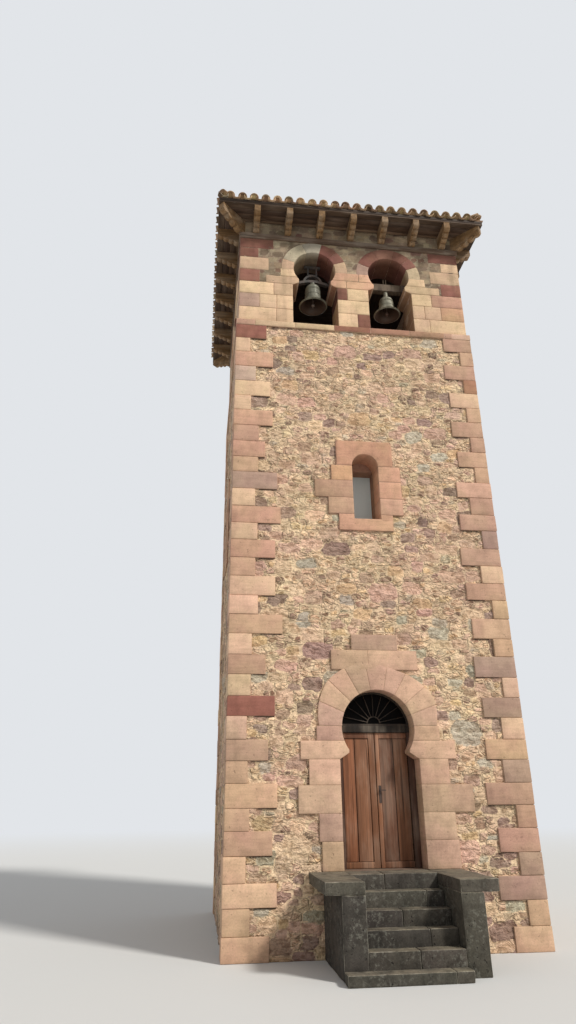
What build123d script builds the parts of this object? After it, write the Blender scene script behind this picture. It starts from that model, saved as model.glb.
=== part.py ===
from build123d import *
import math
import os

# Free-standing bell tower of a church: a square rubble tower with dressed quoins, a doorway with
# a horseshoe arch up a flight of steps, an open belfry with two horseshoe arches on each face,
# two bells that swing in the front arches, and a low hipped roof on carved corbels.
# Millimetres. The origin is the centre of the tower at ground level, +Z is up, and the doorway
# looks towards -Y.

# Tower body
body_width = 4500.0
quoin_proud = 35.0
lower_wall = 900.0
wall_ledge = 100.0
body_height = 10155.0
sill_course_height = 120.0
wall_joint_rise = 2880.0
quoin_course = 305.0
quoin_pair = 970.0
quoin_least = 250.0
quoin_lengths = (560.0, 260.0, 680.0, 370.0, 630.0, 290.0, 670.0, 430.0, 540.0, 420.0, 750.0, 380.0,
                 800.0, 420.0, 710.0, 390.0, 710.0, 440.0, 820.0, 350.0, 560.0, 340.0, 700.0, 290.0,
                 600.0, 310.0, 730.0, 340.0, 660.0, 300.0, 720.0, 360.0, 620.0, 330.0)
quoin_turn = 9

# Floors
middle_floor_ledge = 4950.0
floor_board = 40.0
joist_height = 180.0
joist_width = 120.0
joists_per_floor = 5

# Belfry
belfry_setback = 50.0
belfry_wall = 560.0
belfry_height = 2020.0
arch_spacing = 1486.0
arch_opening = 876.0
arch_radius = 418.0
arch_centre_rise = 1368.0
impost_rise = 946.0
impost_lift = 60.0
nose_gap = 630.0

# Steps and cheek walls
riser = 180.0
riser_count = 5
bottom_riser = 120.0
tread = 210.0
landing_depth = 400.0
flight_width = 1170.0
cheek_width = 295.0
coping_width = 490.0
coping_height = 145.0

# Doorway
door_x = -15.0
door_opening = 1180.0
door_radius = 547.0
door_centre_rise = 1873.0
door_impost_rise = 1435.0
door_impost_lift = 90.0
door_nose_gap = 904.0
door_recess = 260.0
surround_margin = 360.0
embrasure_width = 1240.0
embrasure_rise = 2490.0

# Door and fanlight
door_clear_width = 1000.0
door_clear_height = 1826.0
frame_depth = 65.0
transom_height = 94.0
leaf_thickness = 40.0
leaf_gap = 5.0
meeting_gap = 12.0
leaf_rail = 80.0
board_setback = 12.0
left_stile = 88.0
right_stile = 58.0
fanlight_depth = 60.0
fanlight_rim = 30.0
glass_thickness = 8.0

# Hinges and handle
pin_radius = 8.0
pin_play = 0.05
knuckle_radius = 14.0
knuckle_height = 60.0
hinge_inset = 260.0
hinge_plate = 10.0
strap_length = 300.0
strap_height = 40.0
strap_thickness = 6.0
running_gap = 0.3
handle_plate_width = 36.0
handle_plate_height = 235.0
handle_plate_thickness = 5.0
handle_inset = 39.0
handle_rise = 965.0
lever_rise = 1020.0
lever_length = 78.0
lever_section = 14.0
lever_boss_radius = 15.0
lever_boss_length = 14.0
lever_stand_off = 34.0

# Windows
window_x = 20.0
window_opening = 460.0
window_sill_height = 6225.0
window_crown_rise = 1220.0
window_lintel_rise = 1055.0
window_niche = 380.0
window_recess = 620.0
window_liner = 150.0
pane_thickness = 20.0

# Bells, clappers, yokes and bearings
left_bell_width = 560.0
left_bell_lip_rise = 667.0
left_bell_body = 488.0
left_bell_neck = 100.0
left_axle_rise = 1225.0
right_bell_width = 530.0
right_bell_lip_rise = 595.0
right_bell_body = 395.0
right_bell_neck = 180.0
bead_radius = 6.0
bead_shares = (0.16, 0.21, 0.62, 0.88, 0.94)
right_axle_rise = 1250.0
bell_neck_radius = 45.0
axle_radius = 20.0
axle_reach = 365.0
axle_play = 0.05
bearing_start = 325.0
bearing_width = 120.0
bearing_height = 180.0
yoke_gap = 25.0
yoke_thickness = 70.0
yoke_hub_half = 90.0
yoke_arm_height = 60.0
yoke_band_radius = 190.0
yoke_band = 40.0
yoke_post = 30.0
yoke_post_rise = 155.0
yoke_bar_half = 162.0
beam_width = 120.0
beam_height = 160.0
tie_rod_radius = 12.0
tie_rod_half_gap = 25.0
tie_rod_rise = 165.0
clapper_eye_radius = 18.0
clapper_eye_width = 24.0
clapper_ball_height = 42.0
clapper_ball_radius = 35.0
clapper_rod_radius = 11.0
clapper_tail = 60.0
staple_cheek = 8.0
staple_gap = 1.0

# Eaves and roof
plate_height = 120.0
plate_lap = 30.0
plate_depth = 320.0
corbel_pitch = 635.0
corbels_per_side = 7
corbel_width = 120.0
corbel_height = 305.0
corbel_reach = 400.0
corbel_rolls = 4
corbel_tail_depth = 200.0
corbel_gap = 5.0
soffit_board = 25.0
soffit_margin = 50.0
eave_reach = 458.0
eave_thickness = 210.0
roof_pitch = 22.0
roof_shell = 160.0
roof_bearing = 150.0

# Worked out from the sizes above
half = body_width / 2
core = half - quoin_proud
inner_low = half - lower_wall
inner_high = inner_low + wall_ledge
inner_top = inner_high + wall_ledge
belfry_half = half - belfry_setback
belfry_inner = belfry_half - belfry_wall
sill_bottom = body_height - sill_course_height
belfry_ledge = body_height - joist_height - floor_board
impost_height = body_height + impost_rise
plate_bottom = body_height + belfry_height
plate_top = plate_bottom + plate_height
plate_half = belfry_half + plate_lap
soffit_bottom = plate_top + corbel_height
soffit_top = soffit_bottom + soffit_board
eave_half = half + eave_reach
threshold_height = bottom_riser + riser_count * riser
wall_joint_height = threshold_height + wall_joint_rise
embrasure_top = threshold_height + embrasure_rise
frame_front = -half + door_recess
frame_back = frame_front + frame_depth
transom_bottom = threshold_height + door_clear_height
transom_top = transom_bottom + transom_height
embrasure_left = door_x - embrasure_width / 2
embrasure_right = door_x + embrasure_width / 2
surround_left = door_x - door_opening / 2 - surround_margin
surround_right = door_x + door_opening / 2 + surround_margin

os.makedirs("parts", exist_ok=True)


def block(x0, x1, y0, y1, z0, z1):
    """A squared block between two corners."""
    size = (x1 - x0, y1 - y0, z1 - z0)
    return Pos((x0 + x1) / 2, (y0 + y1) / 2, (z0 + z1) / 2) * Box(*size)


def upright(face, front, depth):
    """Stand a flat outline up in the XZ plane at y = front and thicken it towards +Y."""
    stand = Plane(origin=(0, front, 0), x_dir=(1, 0, 0), z_dir=(0, -1, 0))
    return extrude(stand * face, amount=depth, dir=(0, 1, 0))


def outline(*pieces):
    """A face inside a closed run of lines and arcs."""
    run = ShapeList()
    for piece in pieces:
        run += piece.edges()
    return make_face(run)


def ring(outer_half, inner_half, z0, z1):
    """A square ring of masonry or timber round the tower."""
    outer = block(-outer_half, outer_half, -outer_half, outer_half, z0, z1)
    return outer - block(-inner_half, inner_half, -inner_half, inner_half, z0, z1)


def four_sides(solid):
    """The same piece on the front, right, back and left faces."""
    return [Rot(0, 0, 90 * side) * solid for side in range(4)]


def rod(start, end, radius):
    """A round bar between two points."""
    axis = Vector(*end) - Vector(*start)
    return extrude(Plane(origin=start, z_dir=axis) * Circle(radius), amount=axis.length)


def save(name, *pieces):
    """Write one named piece of the tower; several solids in one piece don't touch."""
    solids = []
    for piece in pieces:
        solids += piece.solids()
    shape = solids[0] if len(solids) == 1 else Compound(children=solids)
    export_step(shape, f"parts/{name}.step")


def horseshoe(half_width, impost, lift, half_gap, radius, centre):
    """Outline of a horseshoe-arched opening that stands on 0: square jambs, imposts that reach
    in to a nose, and most of a circle above them."""
    spring = centre - math.sqrt(radius**2 - half_gap**2)
    sides = Polyline(
        (-half_gap, spring),
        (-half_gap, impost + lift),
        (-half_width, impost),
        (-half_width, 0),
        (half_width, 0),
        (half_width, impost),
        (half_gap, impost + lift),
        (half_gap, spring),
    )
    arch = ThreePointArc((half_gap, spring), (0, centre + radius), (-half_gap, spring))
    return outline(sides, arch)


def round_headed(half_width, crown):
    """Outline of an opening that stands on 0, with square jambs and a half-round head."""
    spring = crown - half_width
    sides = Polyline((-half_width, spring), (-half_width, 0), (half_width, 0), (half_width, spring))
    head = ThreePointArc((half_width, spring), (0, crown), (-half_width, spring))
    return outline(sides, head)


def courses(rows):
    """Outline of dressed stones laid in courses: each row is left, right, bottom, top."""
    shape = None
    for left, right, low, high in rows:
        stone = Pos((left + right) / 2, (low + high) / 2) * Rectangle(right - left, high - low)
        shape = stone if shape is None else shape + stone
    return shape


# Ground floor: paved fill inside the walls, level with the door sill
save("ground_floor", block(-inner_low, inner_low, -inner_low, inner_low, 0, threshold_height))


def joisted_floor(ledge_half, ledge_height):
    """Joists that bear on the wall ledges at one level, with boards laid over them."""
    boards_bottom = ledge_height + joist_height
    deck = block(-ledge_half, ledge_half, -ledge_half, ledge_half,
                 boards_bottom, boards_bottom + floor_board)
    spacing = 2 * ledge_half / joists_per_floor
    for index in range(joists_per_floor):
        y = -ledge_half + spacing * (index + 0.5)
        deck += block(-ledge_half, ledge_half, y - joist_width / 2, y + joist_width / 2,
                      ledge_height, boards_bottom)
    return deck


save("middle_floor", joisted_floor(inner_high, middle_floor_ledge))
save("belfry_floor", joisted_floor(inner_top, belfry_ledge))

# Lower walls: rubble, stepping back inside at the ledge under each floor
wall_stages = [
    (0, middle_floor_ledge, inner_low),
    (middle_floor_ledge, belfry_ledge, inner_high),
    (belfry_ledge, sill_bottom, inner_top),
]


def front_wall(x0, x1, z0, z1):
    """A stretch of the front wall."""
    wall = None
    for low, high, inside in wall_stages:
        bottom = max(low, z0)
        top = min(high, z1)
        if top > bottom:
            stage = block(x0, x1, -core, -inside, bottom, top)
            wall = stage if wall is None else wall + stage
    return wall


def side_wall():
    """The right wall, which stands between the front and back walls."""
    wall = None
    for low, high, inside in wall_stages:
        stage = block(inside, core, -inside, inside, low, high)
        wall = stage if wall is None else wall + stage
    return wall


liner_left = window_x - window_opening / 2 - window_liner
liner_right = window_x + window_opening / 2 + window_liner
liner_bottom = window_sill_height - window_liner
liner_top = window_sill_height + window_crown_rise + window_liner
window_hole = block(liner_left, liner_right, -half, -inner_low, liner_bottom, liner_top)

doorway = block(surround_left, surround_right, -half, -inner_low, 0, threshold_height)
doorway += block(surround_left, surround_right, -half, frame_front, 0, wall_joint_height)
doorway += block(surround_left, surround_right, -half, -inner_low, embrasure_top, wall_joint_height)
doorway += block(embrasure_left, embrasure_right, -half, -inner_low, 0, wall_joint_height)

save("front_wall_left", front_wall(-core, door_x, 0, wall_joint_height) - doorway)
save("front_wall_right", front_wall(door_x, core, 0, wall_joint_height) - doorway)
save("front_wall_upper", front_wall(-core, core, wall_joint_height, sill_bottom) - window_hole)
save("back_wall", Rot(0, 0, 180) * (front_wall(-core, core, 0, sill_bottom) - window_hole))
right_wall = side_wall() - Rot(0, 0, 90) * window_hole
save("right_wall", right_wall)
save("left_wall", Rot(0, 0, 180) * right_wall)

# Door sill and lintel: the masonry under and over the inner part of the doorway
save("door_sill", block(surround_left, surround_right, -core, -inner_low, 0, threshold_height))
save("door_lintel", block(surround_left, surround_right, frame_front, -inner_low,
                          embrasure_top, wall_joint_height))


def door_surround():
    """Dressed jambs, imposts, horseshoe arch and hood stones, standing proud of the rubble."""
    opening = horseshoe(door_opening / 2, door_impost_rise, door_impost_lift,
                        door_nose_gap / 2, door_radius, door_centre_rise)
    stones = courses([
        (-885, 1075, 0, 365),
        (-915, 1055, 365, 720),
        (-1205, 1355, 720, 1090),
        (-1045, 1025, 1090, door_impost_rise),
        (-1165, 1150, door_impost_rise, 1690),
        (-925, 930, 1690, 1895),
        (-675, 675, 2715, 3011),
        (-350, 375, 3011, 3255),
    ])
    stones += outline(Polyline((-880, 1895), (-880, 2225), (-755, 2525), (-515, 2715), (305, 2715),
                               (695, 2525), (905, 2285), (895, 1895), close=True))
    at_door = Pos(door_x, threshold_height)
    skin = upright(at_door * stones, -half, quoin_proud)
    body = block(surround_left, surround_right, -core, frame_front, threshold_height, wall_joint_height)
    return (skin + body) - upright(at_door * opening, -half, door_recess)


save("door_surround", door_surround())


def corner_quoins(start):
    """Long and short dressed stones, one above the other, up the front left corner. Start is
    the place of the uppermost stone in the list of lengths."""
    count = round(sill_bottom / quoin_course)
    height = sill_bottom / count
    column = None
    for index in range(count):
        along_x = quoin_lengths[(start + count - 1 - index) % len(quoin_lengths)]
        along_y = max(quoin_pair - along_x, quoin_least)
        low = index * height
        stone = block(-half, -half + along_x, -half, -half + along_y, low, low + height)
        column = stone if column is None else column + stone
    return column - block(-core, core, -core, core, 0, sill_bottom)


save("quoins", *[Rot(0, 0, 90 * side) * corner_quoins(quoin_turn * side) for side in range(4)])


def window_surround():
    """Stepped dressed stones round a slit window at the back of a round-headed niche."""
    stones = courses([
        (-500, 485, 985, 1465),
        (-597, 615, 697, 985),
        (-885, 620, 380, 697),
        (-660, 620, 80, 380),
        (-490, 430, -210, 80),
    ])
    at_window = Pos(window_x, window_sill_height)
    skin = upright(at_window * stones, -half, quoin_proud)
    body = block(liner_left, liner_right, -core, -half + window_recess, liner_bottom, liner_top)
    niche = upright(at_window * round_headed(window_opening / 2, window_crown_rise), -half, window_niche)
    slit = block(window_x - window_opening / 2, window_x + window_opening / 2, -half,
                 -half + window_recess, window_sill_height, window_sill_height + window_lintel_rise)
    return (skin + body) - niche - slit


save("window_surrounds", *four_sides(window_surround()))
pane = block(window_x - window_opening / 2, window_x + window_opening / 2,
             -half + window_recess - pane_thickness, -half + window_recess,
             window_sill_height, window_sill_height + window_lintel_rise)
save("window_panes", *four_sides(pane))

# Sill course: the top bed of the lower walls, which carries the belfry
save("sill_course", ring(half, inner_top, sill_bottom, body_height))

# Belfry piers, and the walling with two horseshoe arches over them on each face
arch_x = arch_spacing / 2
inner_jamb = arch_x - arch_opening / 2
outer_jamb = arch_x + arch_opening / 2
arch_centre = body_height + arch_centre_rise
corner_pier = block(-belfry_half, -outer_jamb, -belfry_half, -outer_jamb, body_height, impost_height)
corner_pier -= block(-belfry_inner, 0, -belfry_inner, 0, body_height, impost_height)
save("belfry_corner_piers", *four_sides(corner_pier))
middle_pier = block(-inner_jamb, inner_jamb, -belfry_half, -belfry_inner, body_height, impost_height)
save("belfry_middle_piers", *four_sides(middle_pier))

arch_outline = horseshoe(arch_opening / 2, impost_rise, impost_lift, nose_gap / 2,
                         arch_radius, arch_centre_rise)


def belfry_head(half_length):
    """The walling over the piers on the front face."""
    head = block(-half_length, half_length, -belfry_half, -belfry_inner, impost_height, plate_bottom)
    for centre in (-arch_x, arch_x):
        head -= upright(Pos(centre, body_height) * arch_outline, -belfry_half, belfry_wall)
    return head


save("front_arches", belfry_head(belfry_half))
save("back_arches", Rot(0, 0, 180) * belfry_head(belfry_half))
save("right_arches", Rot(0, 0, 90) * belfry_head(belfry_inner))
save("left_arches", Rot(0, 0, 270) * belfry_head(belfry_inner))

# Wall plate that the corbels and the eaves stand on
save("wall_plate", ring(plate_half, plate_half - plate_depth, plate_bottom, plate_top))


def corbel(tail, foot, end):
    """A carved timber corbel: flat on top, with rolls that step up under it from foot to end."""
    reach = (end - foot) / corbel_rolls
    rise = 0.6 * corbel_height / corbel_rolls
    bulge = 0.28 * math.hypot(reach, rise)
    slope = math.atan2(rise, reach)
    pieces = [Polyline((-end, soffit_bottom), (-tail, soffit_bottom), (-tail, plate_top), (-foot, plate_top))]
    for index in range(corbel_rolls):
        y = -foot - index * reach
        z = plate_top + index * rise
        bow = (y - reach / 2 - bulge * math.sin(slope), z + rise / 2 - bulge * math.cos(slope))
        pieces.append(ThreePointArc((y, z), bow, (y - reach, z + rise)))
    pieces.append(Line((-end, plate_top + corbel_rolls * rise), (-end, soffit_bottom)))
    stand = Plane(origin=(-corbel_width / 2, 0, 0), x_dir=(0, 1, 0), z_dir=(1, 0, 0))
    return extrude(stand * outline(*pieces), amount=corbel_width, dir=(1, 0, 0))


corbel_tail = belfry_half - corbel_tail_depth
corbel_end = half + corbel_reach
diagonal = math.sqrt(2)
corbel_places = [(index - (corbels_per_side - 1) / 2) * corbel_pitch for index in range(corbels_per_side)]
side_corbel = corbel(corbel_tail, plate_half, corbel_end)
eave_corbels = []
for place in corbel_places:
    eave_corbels += four_sides(Pos(place, 0, 0) * side_corbel)
save("eave_corbels", *eave_corbels)

# Corner corbels run out on the diagonal, past the last corbel of each face
last_corbel = corbel_places[-1] + corbel_width / 2 + corbel_gap
corner_tail = last_corbel * diagonal + corbel_width / 2
corner_foot = plate_half * diagonal
corner_end = corbel_end * diagonal - corbel_width / 2
corner_corbel = Rot(0, 0, -45) * corbel(corner_tail, corner_foot, corner_end)
save("corner_corbels", *four_sides(corner_corbel))


def eave_wall():
    """Walling between the corbels, cut where each corbel's tail is bedded."""
    band = ring(belfry_half, corbel_tail, plate_top, soffit_bottom)
    slots = [block(place - corbel_width / 2, place + corbel_width / 2, -half, -corbel_tail,
                   plate_top, soffit_bottom) for place in corbel_places]
    slots.append(Rot(0, 0, -45) * block(-corbel_width / 2, corbel_width / 2, -half * diagonal,
                                        -last_corbel * diagonal, plate_top, soffit_bottom))
    for slot in slots:
        for cut in four_sides(slot):
            band -= cut
    return band


save("eave_wall", eave_wall())
save("eave_soffit", ring(eave_half - soffit_margin, corbel_tail, soffit_bottom, soffit_top))

# Hipped roof: boards, bedding and tiles in one thickness, in four slopes that meet at the hips
eave_top = soffit_top + eave_thickness
apex_height = eave_top + eave_half * math.tan(math.radians(roof_pitch))


def roof_quarter(reach, bottom, eave, apex):
    """The front quarter of a square block with a pyramid on it."""
    low = [(-reach, -reach, bottom), (reach, -reach, bottom)]
    high = [(-reach, -reach, eave), (reach, -reach, eave)]
    centre_low, centre_top = (0, 0, bottom), (0, 0, apex)
    runs = [
        [low[0], low[1], centre_low],
        [low[0], low[1], high[1], high[0]],
        [high[0], high[1], centre_top],
        [low[0], high[0], centre_top, centre_low],
        [low[1], high[1], centre_top, centre_low],
    ]
    return Solid(Shell([make_face(Polyline(*run, close=True)) for run in runs]))


def roof_slope():
    """The front slope, with the open roof space cut out under it."""
    drop = roof_shell / math.cos(math.radians(roof_pitch))
    reach = belfry_half - roof_bearing
    inner_apex = apex_height - drop
    inner_eave = inner_apex - reach * math.tan(math.radians(roof_pitch))
    space = roof_quarter(reach, soffit_top, inner_eave, inner_apex)
    return roof_quarter(eave_half, soffit_top, eave_top, apex_height) - space


slopes = four_sides(roof_slope())
for name, slope in zip(("front_roof", "right_roof", "back_roof", "left_roof"), slopes):
    save(name, slope)

# Door frame: two posts and a transom in the back of the reveal
frame_left = door_x - door_clear_width / 2
frame_right = door_x + door_clear_width / 2
door_frame = block(embrasure_left, embrasure_right, frame_front, frame_back,
                   threshold_height, transom_top)
door_frame -= block(frame_left, frame_right, frame_front, frame_back, threshold_height, transom_bottom)
save("door_frame", door_frame)

# Fanlight: a board over the transom with a half-round light, and the glass in it
light_radius = door_radius - fanlight_rim
light = Pos(door_x, threshold_height + door_centre_rise) * Circle(light_radius)
light_square = Rectangle(2 * light_radius, 2 * light_radius)
light &= Pos(door_x, transom_top + fanlight_rim + light_radius) * light_square
fanlight_board = block(embrasure_left, embrasure_right, frame_front, frame_front + fanlight_depth,
                       transom_top, embrasure_top)
save("fanlight_frame", fanlight_board - upright(light, frame_front, fanlight_depth))
save("fanlight_glass", upright(light, frame_front + (fanlight_depth - glass_thickness) / 2, glass_thickness))

# Door leaves: upright boards between two rails and a meeting stile, hung behind the posts
leaf_back = frame_back
leaf_front = leaf_back - leaf_thickness
leaf_bottom = threshold_height + leaf_gap
leaf_top = transom_bottom - leaf_gap
left_leaf_edges = (frame_left + leaf_gap, door_x - meeting_gap / 2)
right_leaf_edges = (door_x + meeting_gap / 2, frame_right - leaf_gap)


def door_leaf(edges, boards):
    """One leaf between its hanging edge and its meeting edge, with its boards set back."""
    leaf = block(*edges, leaf_front, leaf_back, leaf_bottom, leaf_top)
    return leaf - block(*boards, leaf_front, leaf_front + board_setback,
                        leaf_bottom + leaf_rail, leaf_top - leaf_rail)


left_boards = (left_leaf_edges[0], left_leaf_edges[1] - left_stile)
right_boards = (right_leaf_edges[0] + right_stile, right_leaf_edges[1])
save("left_door_leaf", door_leaf(left_leaf_edges, left_boards))
save("right_door_leaf", door_leaf(right_leaf_edges, right_boards))

# Hinges: strap and knuckle on the back of each leaf, round a pin that two plates hold off the post
pivot_y = leaf_back + knuckle_radius + running_gap
left_pivot_x = left_leaf_edges[0] - knuckle_radius
right_pivot_x = right_leaf_edges[1] + knuckle_radius
hinge_heights = (leaf_bottom + hinge_inset, leaf_top - hinge_inset)


def door_strap(pivot_x, side, height):
    """A flat strap with a knuckle; side is +1 where the leaf lies towards +X of the pivot."""
    edge = pivot_x + side * knuckle_radius
    low = height - strap_height / 2
    high = height + strap_height / 2
    strap = block(*sorted((edge, edge + side * strap_length)), leaf_back, leaf_back + strap_thickness,
                  low, high)
    strap += block(*sorted((pivot_x, edge + side * knuckle_radius)), leaf_back + strap_thickness / 2,
                   leaf_back + strap_thickness + knuckle_radius / 2, low, high)
    foot = (pivot_x, pivot_y, height - knuckle_height / 2)
    head = (pivot_x, pivot_y, height + knuckle_height / 2)
    strap += rod(foot, head, knuckle_radius)
    return strap - rod(foot, head, pin_radius + pin_play)


def hinge_pin(pivot_x, side, height):
    """The pin of one hinge, in two plates fixed to the back of the post."""
    reach = knuckle_height / 2 + running_gap + hinge_plate
    pin = rod((pivot_x, pivot_y, height - reach), (pivot_x, pivot_y, height + reach), pin_radius)
    for low in (height - reach, height + reach - hinge_plate):
        pin += block(*sorted((pivot_x + side * pin_radius, pivot_x - side * 3 * pin_radius)),
                     frame_back, pivot_y + pin_radius, low, low + hinge_plate)
    return pin


save("left_door_straps", *[door_strap(left_pivot_x, 1, height) for height in hinge_heights])
save("right_door_straps", *[door_strap(right_pivot_x, -1, height) for height in hinge_heights])
save("door_hinge_pins", *[hinge_pin(left_pivot_x, 1, height) for height in hinge_heights],
     *[hinge_pin(right_pivot_x, -1, height) for height in hinge_heights])

# Door handle: a long plate on the meeting stile of the right leaf, and a lever in its boss
handle_x = right_leaf_edges[0] + handle_inset
handle_z = threshold_height + handle_rise
lever_z = threshold_height + lever_rise
plate_face = leaf_front - handle_plate_thickness
boss_face = plate_face - lever_boss_length
lever_face = plate_face - lever_stand_off
handle_plate = block(handle_x - handle_plate_width / 2, handle_x + handle_plate_width / 2,
                     plate_face, leaf_front,
                     handle_z - handle_plate_height / 2, handle_z + handle_plate_height / 2)
handle_plate += rod((handle_x, plate_face, lever_z), (handle_x, boss_face, lever_z), lever_boss_radius)
handle_plate -= rod((handle_x, boss_face, lever_z), (handle_x, plate_face, lever_z), pin_radius + pin_play)
save("handle_plate", handle_plate)
lever = rod((handle_x, plate_face - running_gap, lever_z), (handle_x, lever_face, lever_z), pin_radius)
lever += block(handle_x - lever_section, handle_x + lever_length, lever_face - lever_section / 2,
               lever_face + lever_section / 2, lever_z - lever_section / 2, lever_z + lever_section / 2)
save("handle_lever", lever)

# Bells: cast bronze, hung in the middle of the front wall's thickness
bell_y = -belfry_half + belfry_wall / 2
ceiling_share = 0.91
left_lip = body_height + left_bell_lip_rise
right_lip = body_height + right_bell_lip_rise
left_seat = left_lip + left_bell_body + left_bell_neck
right_seat = right_lip + right_bell_body + right_bell_neck
left_axle = body_height + left_axle_rise
right_axle = body_height + right_axle_rise


def clapper_pivot(lip, body):
    """Height of the pin that a bell's clapper hangs from, close under the bell's ceiling."""
    return lip + ceiling_share * body - 2 * clapper_eye_radius


def bell(x, lip, width, body, neck):
    """A bell turned about its axis, with raised beads round it, and the staple and pin that
    carry its clapper."""
    radius = width / 2
    ceiling = lip + ceiling_share * body
    outer = Spline((radius, lip + 0.03 * width), (0.80 * radius, lip + 0.13 * body),
                   (0.62 * radius, lip + 0.30 * body), (0.545 * radius, lip + 0.58 * body),
                   (0.51 * radius, lip + 0.86 * body))
    shoulder = ThreePointArc((0.51 * radius, lip + 0.86 * body), (0.47 * radius, lip + 0.95 * body),
                             (0.36 * radius, lip + body))
    crown = Polyline((0.36 * radius, lip + body), (bell_neck_radius, lip + body),
                     (bell_neck_radius, lip + body + neck), (0, lip + body + neck), (0, ceiling),
                     (0.33 * radius, ceiling))
    bend = ThreePointArc((0.33 * radius, ceiling), (0.4 * radius, ceiling - 0.02 * body),
                         (0.43 * radius, lip + 0.84 * body))
    inner = Spline((0.43 * radius, lip + 0.84 * body), (0.47 * radius, lip + 0.55 * body),
                   (0.54 * radius, lip + 0.3 * body), (0.68 * radius, lip + 0.13 * body),
                   (0.9 * radius, lip))
    rim = Line((0.9 * radius, lip), (radius, lip + 0.03 * width))
    turned = revolve(Plane.XZ * outline(outer, shoulder, crown, bend, inner, rim), axis=Axis.Z)
    for share in bead_shares:
        middle = outer @ share
        turned += revolve(Plane.XZ * Pos(middle.X, middle.Y) * Circle(bead_radius), axis=Axis.Z)
    pivot = clapper_pivot(lip, body)
    cheek_in = clapper_eye_width / 2 + staple_gap
    cheek_out = cheek_in + staple_cheek
    for side in (-1, 1):
        turned += block(*sorted((side * cheek_in, side * cheek_out)), -clapper_eye_radius,
                        clapper_eye_radius, pivot - clapper_eye_radius, ceiling + staple_cheek)
    turned += rod((-cheek_out, 0, pivot), (cheek_out, 0, pivot), pin_radius)
    return Pos(x, bell_y, 0) * turned


def clapper(x, lip, body):
    """A clapper: eye on the staple's pin, forged shank, ball and tail."""
    pivot = clapper_pivot(lip, body)
    ball = lip + clapper_ball_height
    eye_half = clapper_eye_width / 2
    forging = rod((-eye_half, 0, pivot), (eye_half, 0, pivot), clapper_eye_radius)
    forging += rod((0, 0, pivot), (0, 0, ball - clapper_tail), clapper_rod_radius)
    forging += Pos(0, 0, ball) * Sphere(clapper_ball_radius)
    forging -= rod((-eye_half, 0, pivot), (eye_half, 0, pivot), pin_radius + pin_play)
    return Pos(x, bell_y, 0) * forging


save("left_bell", bell(-arch_x, left_lip, left_bell_width, left_bell_body, left_bell_neck))
save("right_bell", bell(arch_x, right_lip, right_bell_width, right_bell_body, right_bell_neck))
save("left_clapper", clapper(-arch_x, left_lip, left_bell_body))
save("right_clapper", clapper(arch_x, right_lip, right_bell_body))


def left_yoke():
    """Cast-iron yoke: arms that drop to the axle, an arched band and a frame on top of it."""
    arm_end = bearing_start - yoke_gap
    half_arm = yoke_arm_height / 2
    arms = outline(Polyline(
        (-arm_end, left_axle - half_arm), (-yoke_hub_half, left_seat), (yoke_hub_half, left_seat),
        (arm_end, left_axle - half_arm), (arm_end, left_axle + half_arm),
        (yoke_hub_half, left_seat + yoke_arm_height), (-yoke_hub_half, left_seat + yoke_arm_height),
        (-arm_end, left_axle + half_arm), close=True))
    band = Pos(0, left_seat) * (Circle(yoke_band_radius) - Circle(yoke_band_radius - yoke_band))
    band &= Pos(0, left_seat + yoke_band_radius) * Rectangle(2 * yoke_band_radius, 2 * yoke_band_radius)
    plate_low = left_seat + yoke_band_radius - yoke_band / 2
    bar_low = plate_low + yoke_band + yoke_post_rise
    post_out = yoke_hub_half + yoke_post / 3
    post_in = post_out - yoke_post
    frame = courses([
        (-yoke_hub_half, yoke_hub_half, plate_low, plate_low + yoke_band),
        (-post_out, -post_in, plate_low + yoke_band / 2, bar_low + yoke_band / 2),
        (post_in, post_out, plate_low + yoke_band / 2, bar_low + yoke_band / 2),
        (-yoke_bar_half, yoke_bar_half, bar_low, bar_low + 1.5 * yoke_band),
    ])
    yoke = upright(arms + band, -yoke_thickness / 2, yoke_thickness)
    yoke += upright(frame, -yoke_thickness / 3, 2 * yoke_thickness / 3)
    for side in (-1, 1):
        yoke += rod((side * (arm_end - axle_radius), 0, left_axle),
                    (side * axle_reach, 0, left_axle), axle_radius)
    return Pos(-arch_x, bell_y, 0) * yoke


def right_yoke():
    """A straight steel beam over the bell, with two tie rods and its axle ends."""
    beam_half = bearing_start - leaf_gap
    beam_top = right_seat + beam_height
    yoke = block(-beam_half, beam_half, -beam_width / 2, beam_width / 2, right_seat, beam_top)
    for side in (-1, 1):
        place = side * tie_rod_half_gap
        yoke += rod((place, 0, beam_top - tie_rod_radius),
                    (place, 0, beam_top + tie_rod_rise), tie_rod_radius)
        yoke += rod((side * (beam_half - axle_radius), 0, right_axle),
                    (side * axle_reach, 0, right_axle), axle_radius)
    return Pos(arch_x, bell_y, 0) * yoke


save("left_bell_yoke", left_yoke())
save("right_bell_yoke", right_yoke())


def bearings(x, axle):
    """Two bearing blocks let into the sides of one arch."""
    room = upright(Pos(0, arch_centre) * Circle(arch_radius - running_gap), -bearing_width, 2 * bearing_width)
    pair = []
    for side in (-1, 1):
        bearing = block(*sorted((side * bearing_start, side * arch_radius)), -bearing_width / 2,
                        bearing_width / 2, axle - bearing_height / 2, axle + bearing_height / 2)
        bearing &= room
        bearing -= rod((side * bearing_start, 0, axle), (side * arch_radius, 0, axle),
                       axle_radius + axle_play)
        pair.append(Pos(x, bell_y, 0) * bearing)
    return pair


save("bell_bearings", *bearings(-arch_x, left_axle), *bearings(arch_x, right_axle))

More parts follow.
